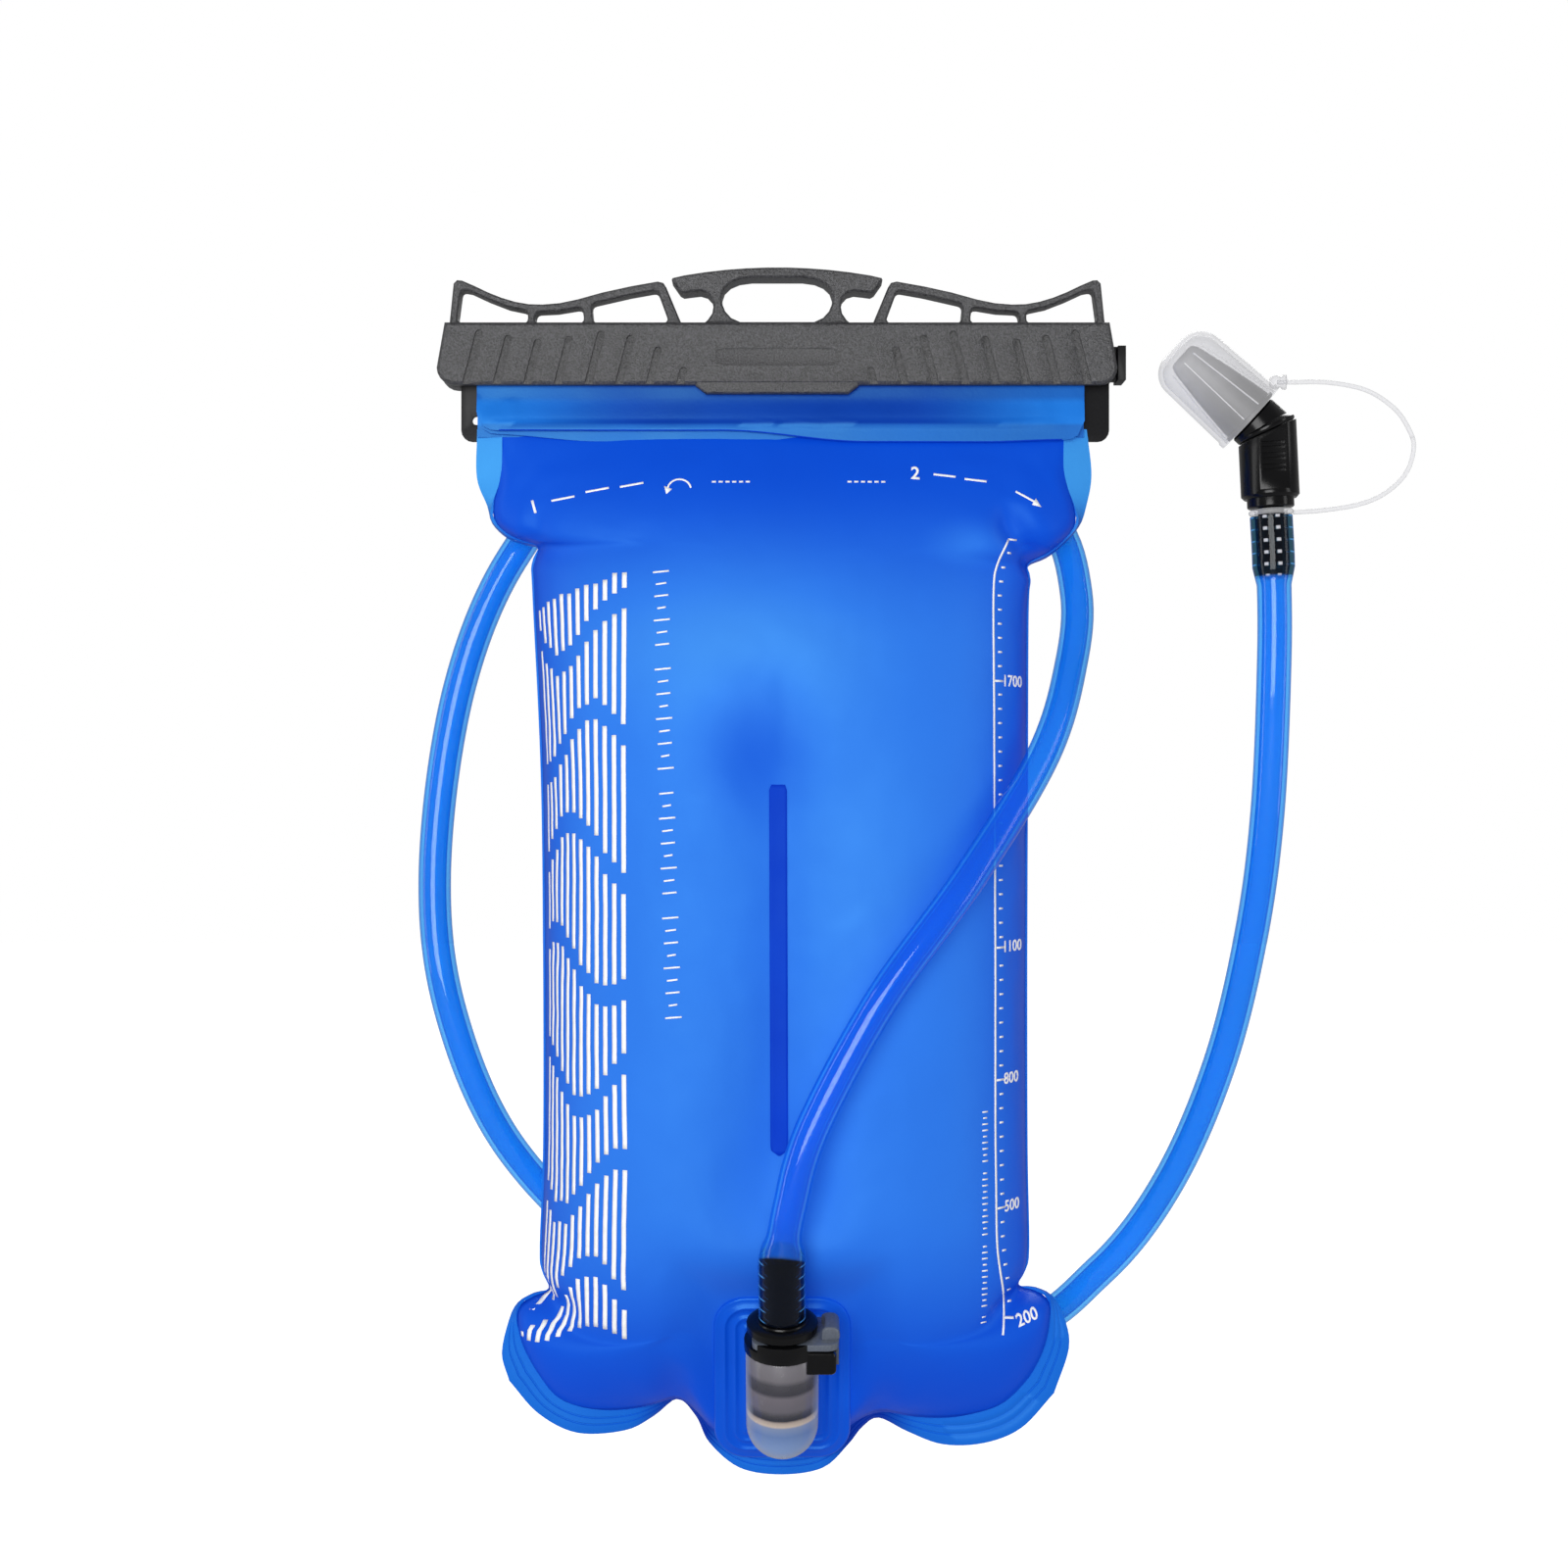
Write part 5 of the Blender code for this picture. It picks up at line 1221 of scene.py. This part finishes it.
def build_pad():
    """The port pad: a rounded panel with pressed steps, in the port's frame."""
    loops = ((0.0, 1.9), (0.25, 1.2), (0.9, 0.95), (2.6, 0.95), (3.0, 0.35), (3.5, 0.35), (3.8, 0.8),
             (5.6, 0.75), (6.0, 0.15), (6.5, 0.15), (6.8, 0.5), (8.4, 0.45), (8.8, -0.1), (9.3, -0.1),
             (9.6, 0.0), (13.0, 0.0), (17.0, 0.0))           # inset and depth in mm
    verts = []
    for inset, depth in loops:
        radius = max(PAD_CORNER + 2.5 - inset, 0.6)
        side, low, high = PAD_HALF - inset - radius, PAD_LOW + inset + radius, PAD_HIGH - inset - radius
        for cx, cz, start in ((side, high, 90), (side, low, 0), (-side, low, -90), (-side, high, -180)):
            verts += [(x, PAD_FACE + depth, z) for x, z in arc_points(cx, cz, radius, start, start - 90, 10)]
    ring = len(verts) // len(loops)
    back = len(verts)
    faces = grid_faces(len(loops), ring, wrap=True) + [tuple(range(back - ring, back))]
    verts += [(x, PAD_FACE + 2.3, z) for x, _, z in verts[:ring]]
    faces += [(k, (k + 1) % ring, back + (k + 1) % ring, back + k) for k in range(ring)]
    obj = mesh_piece("port_panel", verts, faces + [tuple(range(back, back + ring))])
    tidy(obj, 60)
    obj.data.transform(PORT)
    return finish_piece(obj, PAD_BLUE, "reservoir", ("port_pad",))


# ---- clear socket, cap, mouthpiece

def arc_points(cx, cz, radius, start, end, count):
    """Points on an arc about (cx, cz), its start and end in degrees."""
    angles = [math.radians(start + (end - start) * k / (count - 1)) for k in range(count)]
    return [(cx + radius * math.cos(a), cz + radius * math.sin(a)) for a in angles]


def build_socket():
    """The clear socket: a round-ended tube with a stepped bore, open at its mouth."""
    profile = [(7.0, 19.3), (10.0, 19.3), (10.25, 19.0), (10.25, -4.2)]
    profile += arc_points(0, -4.2, 10.25, 0, -90, 14)[1:-1]
    profile += [(0.0, -14.45), (0.0, -10.4), (5.9, -10.4), (5.9, -0.4), (4.5, -0.4), (4.5, 1.2),
                (6.95, 1.2), (6.95, 8.2), (7.25, 8.6), (7.25, 15.6), (7.0, 16.0)]
    obj = turned("socket_clear", profile, place=PORT, sharp=SHELL_SHARP)
    return finish_piece(obj, SOCKET_CLEAR, "reservoir", ("socket_body",))


def build_cap():
    """The clear dust cap, with thin ribs inside, painted white as highlight lines."""
    low, high, radius, wall = 0.4, 30.2, 11.0, 1.2
    profile = [(radius - 0.9, low), (radius + 0.4, low), (radius + 0.4, low + 1.4), (radius, low + 2.0)]
    profile += arc_points(radius - 7.6, high - 7, 7, 0, 90, 11) + [(0.0, high), (0.0, high - wall)]
    profile += arc_points(radius - wall - 6.6, high - wall - 6, 6, 90, 0, 10) + [(radius - wall, low + 0.2)]
    cap = turned("dust_cap_clear", profile, place=HEAD, sharp=SHELL_SHARP)
    finish_piece(cap, CAP_CLEAR, "cap", ("dust_cap",))
    verts, faces = [], []
    box = ((0, 1, 3, 2), (4, 6, 7, 5), (0, 4, 5, 1), (2, 3, 7, 6), (0, 2, 6, 4), (1, 5, 7, 3))
    for turn in (186, 246, 282, 354, 30, 90, 150):
        c, s = math.cos(math.radians(turn)), math.sin(math.radians(turn))
        faces += [tuple(len(verts) + k for k in quad) for quad in box]
        verts += [(c * r - s * w, s * r + c * w, z) for z, near in ((low + 1.5, 9.1), (high - 5.2, 5.7))
                  for r in (near, near + 0.45) for w in (-0.13, 0.13)]
    # thin ribs painted white: painted highlight lines
    highlight_ribs = mesh_piece("dust_cap_highlight_ribs", verts, faces, smooth=False)
    tidy(highlight_ribs)
    highlight_ribs.data.transform(HEAD)
    finish_piece(highlight_ribs, INK, "cap")


def build_mouthpiece():
    """The soft mouthpiece: a flange and a wedge that narrows and flattens towards its slit."""
    tip = 27.0
    profile = [(4.7, 0.4), (8.9, 0.4), (8.9, 1.3), (8.2, 1.7), (8.1, 3.2), (7.6, 7.2), (6.7, 13.5), (6.1, 17),
               (5.4, 20.8), (5.0, 23.2), (4.6, 25.2), (4.0, 26.5), (3.2, tip), (0.0, tip),
               (0.0, tip - 1.6), (1.4, tip - 1.6), (2.4, tip - 5), (3.4, 9), (4.6, 7.2)]
    obj = turned("bite_valve_soft", profile, 56, sharp=SHELL_SHARP)
    for vert in obj.data.vertices:
        flat = float(smoothstep(8 * MM, (tip - 3) * MM, vert.co.z))
        vert.co.y *= 1 - 0.38 * flat
        vert.co.x *= 1 + 0.06 * flat
    obj.data.transform(HEAD)
    return finish_piece(obj, SILICONE, "elbow", ("bite_valve",))


# ---- hose and lanyard

def nearest(line, point):
    return int(np.argmin(np.linalg.norm(line - np.array(point), axis=1)))


def store(obj, name, values):
    """Keep a number on every point for the materials to read."""
    obj.data.attributes.new(name, "FLOAT", "POINT").data.foreach_set("value", np.asarray(values, np.float32))


def build_hose():
    """The hose in three lengths; the loop behind the pouch stays with the reservoir."""
    line = smooth_line(HOSE_PATH, 3.0)
    reach = reaches(line)
    plug_end = 1 - smoothstep(19.0, 25.0, reach)
    valve_end = 1 - smoothstep(14.0, 20.0, reach[-1] - reach)
    radii = HOSE_R + (HOSE_PLUG_R - HOSE_R) * plug_end + (HOSE_VALVE_R - HOSE_R) * valve_end
    stops = [0, nearest(line, HOSE_BEHIND_MOUTH), nearest(line, HOSE_BEHIND_PORT), len(line) - 1]
    lengths = []
    for name, start, stop in zip(("hose_front", "hose_loop", "hose_outer"), stops, stops[1:]):
        part = slice(start, stop + 1)
        obj = tube(name, line[part], radii[part], HOSE_WALL, HOSE_SIDES, 60)
        rings = np.tile(np.repeat(reach[part], HOSE_SIDES), 2)        # outer skin, then inner skin
        store(obj, "plug_stem", PLUG_STEM - rings)
        store(obj, "valve_stem", rings - (reach[-1] - VALVE_STEM))
        lengths.append(finish_piece(obj, HOSE_BLUE, None))
    front, loop, outer = lengths
    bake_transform(front)
    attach(loop, "reservoir")
    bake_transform(outer)
    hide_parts("drink_hose")


def build_latch_spring():
    """The latch's coil, seated on the socket."""
    low, high = (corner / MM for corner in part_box("latch_spring"))
    centre = (low + high) / 2
    wire, turns, count = 0.22, 2.5, 60
    radius = (high.z - low.z) / 2 - wire
    line = [(low.x + wire + (high.x - low.x - 2 * wire) * k / count,
             centre.y + radius * math.sin(2 * math.pi * turns * k / count),
             centre.z + radius * math.cos(2 * math.pi * turns * k / count)) for k in range(count + 1)]
    obj = tube("latch_coil", line, wire, sides=8)
    finish_piece(obj, STEEL, "reservoir", ("latch_spring",))
    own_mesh(obj)


def build_lanyard():
    """The clear cord: a ring on the stem's neck, two strands that meet at the far bend, and the knob."""
    plane = MITRE_POS.y / MM
    line = evenly(smooth_line([(x, plane, z) for x, z in LANYARD_PATH], 1.0), 90)
    half = len(line) // 2
    start, bend, end = (Vector(line[k] * MM) for k in (0, half, -1))
    for name, strand, a, b, near, far in (
            ("lanyard_lower", line[:half + 1], "hose_line", "elbow", start, bend),
            ("lanyard_upper", line[half:], "elbow", "cap", bend, end)):
        obj = finish_piece(tube(name, strand, LANYARD_R, sides=12), CORD_CLEAR, None)
        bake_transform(obj)
        if a == "hose_line":
            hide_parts("lanyard")
    ring = turned("lanyard_ring", arc_points(5.4, -1.25, 0.85, 0, -345, 24), 60, VALVE)
    finish_piece(ring, CORD_CLEAR, "hose_line")
    knob_profile = ((0, 2.3), (1.3, 2.1), (1.9, 1.3), (2.0, 0.2), (1.5, -0.6), (1.5, -1.0), (2.1, -1.5),
                    (2.1, -2.3), (0, -2.5))
    turn = Vector(line[-1] - line[-2]).to_track_quat("Z", "Y").to_matrix().to_4x4()
    knob = turned("lanyard_knob", knob_profile, 32, Matrix.Translation(end) @ turn)
    finish_piece(knob, CORD_CLEAR, "cap")


# ---- CAD pieces that stay

def finish_cad():
    """Give the CAD pieces that stay their finish, with a fine rounding, in mm, on those that show."""
    finishes = {
        "closure_slider": (SLIDER_GREY, 0.35), "backing_bar": (BAR_BLACK, 0.25),
        "latch_housing": (BLACK, 0.3), "latch_button": (GREY, 0.3),
        "poppet": (BLACK, 0), "poppet_seal": (SEAL, 0), "poppet_spring": (STEEL, 0),
        "plug": (BLACK, 0), "plug_seal": (SEAL, 0), "valve_body": (BLACK, 0.25),
        "elbow_head": (BLACK, 0.25), "swivel_seal": (SEAL, 0)}
    for node, (material, edge) in finishes.items():
        obj = frame["nodes"][node]
        obj.data.materials.clear()
        obj.data.materials.append(material)
        obj.data.shade_smooth()
        modifier(obj, "WELD", merge_threshold=0.00002)
        if edge:
            modifier(obj, "BEVEL", width=edge * MM, segments=2, limit_method="ANGLE",
                     angle_limit=math.radians(32), harden_normals=False, use_clamp_overlap=True)
        modifier(obj, "EDGE_SPLIT", split_angle=math.radians(38), use_edge_angle=True, use_edge_sharp=False)


# ---- stage

def add_light(name, place, target, size, energy):
    lamp = bpy.data.lights.new(name, "AREA")
    lamp.shape = "RECTANGLE"
    lamp.size, lamp.size_y = size
    lamp.energy = energy
    obj = add_object(name, lamp)
    obj.location = place
    obj.rotation_euler = (target - Vector(place)).to_track_quat("-Z", "Y").to_euler()


def white_to_camera(look, socket, strength):
    """Full white where the camera looks, and only strength for the light that falls on the model."""
    seen = look.node("LightPath", {}, "Is Camera Ray")
    look.set({socket: look.node("MapRange", {"Value": seen, "To Min": strength, "To Max": 1.0}, "Result")})


ROOM_LIGHT = 0.3
CAMERA_PLACE = (2.0, -650.0, -147.4)
FLOOR_HALF = 3000
FLOOR_DROP = 60


def build_stage():
    low, high = CAD_BOX
    scene = bpy.context.scene
    scene.view_settings.view_transform = "Standard"
    scene.world = bpy.data.worlds.new("studio")
    sky = Look(scene.world, "Background")
    sky.set({"Color": (1, 1, 1)})
    white_to_camera(sky, "Strength", ROOM_LIGHT)

    camera = bpy.data.cameras.new("camera")
    camera.sensor_width = 36
    camera.lens = 51
    scene.camera = add_object("camera", camera)
    scene.camera.location = Vector(CAMERA_PLACE) * MM
    scene.camera.rotation_euler = (math.pi / 2, 0, 0)

    corners = [(x * FLOOR_HALF, y * FLOOR_HALF, low.z / MM - FLOOR_DROP)
               for x, y in ((-1, -1), (1, -1), (1, 1), (-1, 1))]
    floor = mesh_piece("floor", corners, [(0, 1, 2, 3)], smooth=False)
    look = new_look("floor")
    look.set({"Base Color": (0.3, 0.3, 0.3), "Roughness": 0.9, "Specular IOR Level": 0.0,
              "Emission Color": (1, 1, 1)})
    white_to_camera(look, "Emission Strength", 0.7 * ROOM_LIGHT)
    floor.data.materials.append(look.owner)

    aim = (low + high) / 2
    add_light("key", (-0.2, -1.15, -0.05), aim, (0.62, 0.62), 10.5)
    add_light("side", (0.85, -0.35, 0.0), aim, (0.2, 0.9), 1.6)
    add_light("other_side", (-0.85, -0.25, 0.0), aim, (0.2, 0.9), 1.6)
    add_light("back", (0.1, 0.8, 0.5), aim, (0.8, 0.5), 5)


# ---- the whole model

pouch = build_pouch()
film = FilmMap(pouch)
build_rim()
build_mouth()
build_centre_weld(film)
build_pad()
print_scale(film)
print_numbers(film)
print_stripes(film)
print_hints(film)
print_rungs(film)
build_socket()
build_cap()
build_mouthpiece()
build_hose()
build_latch_spring()
build_lanyard()
finish_cad()
build_stage()
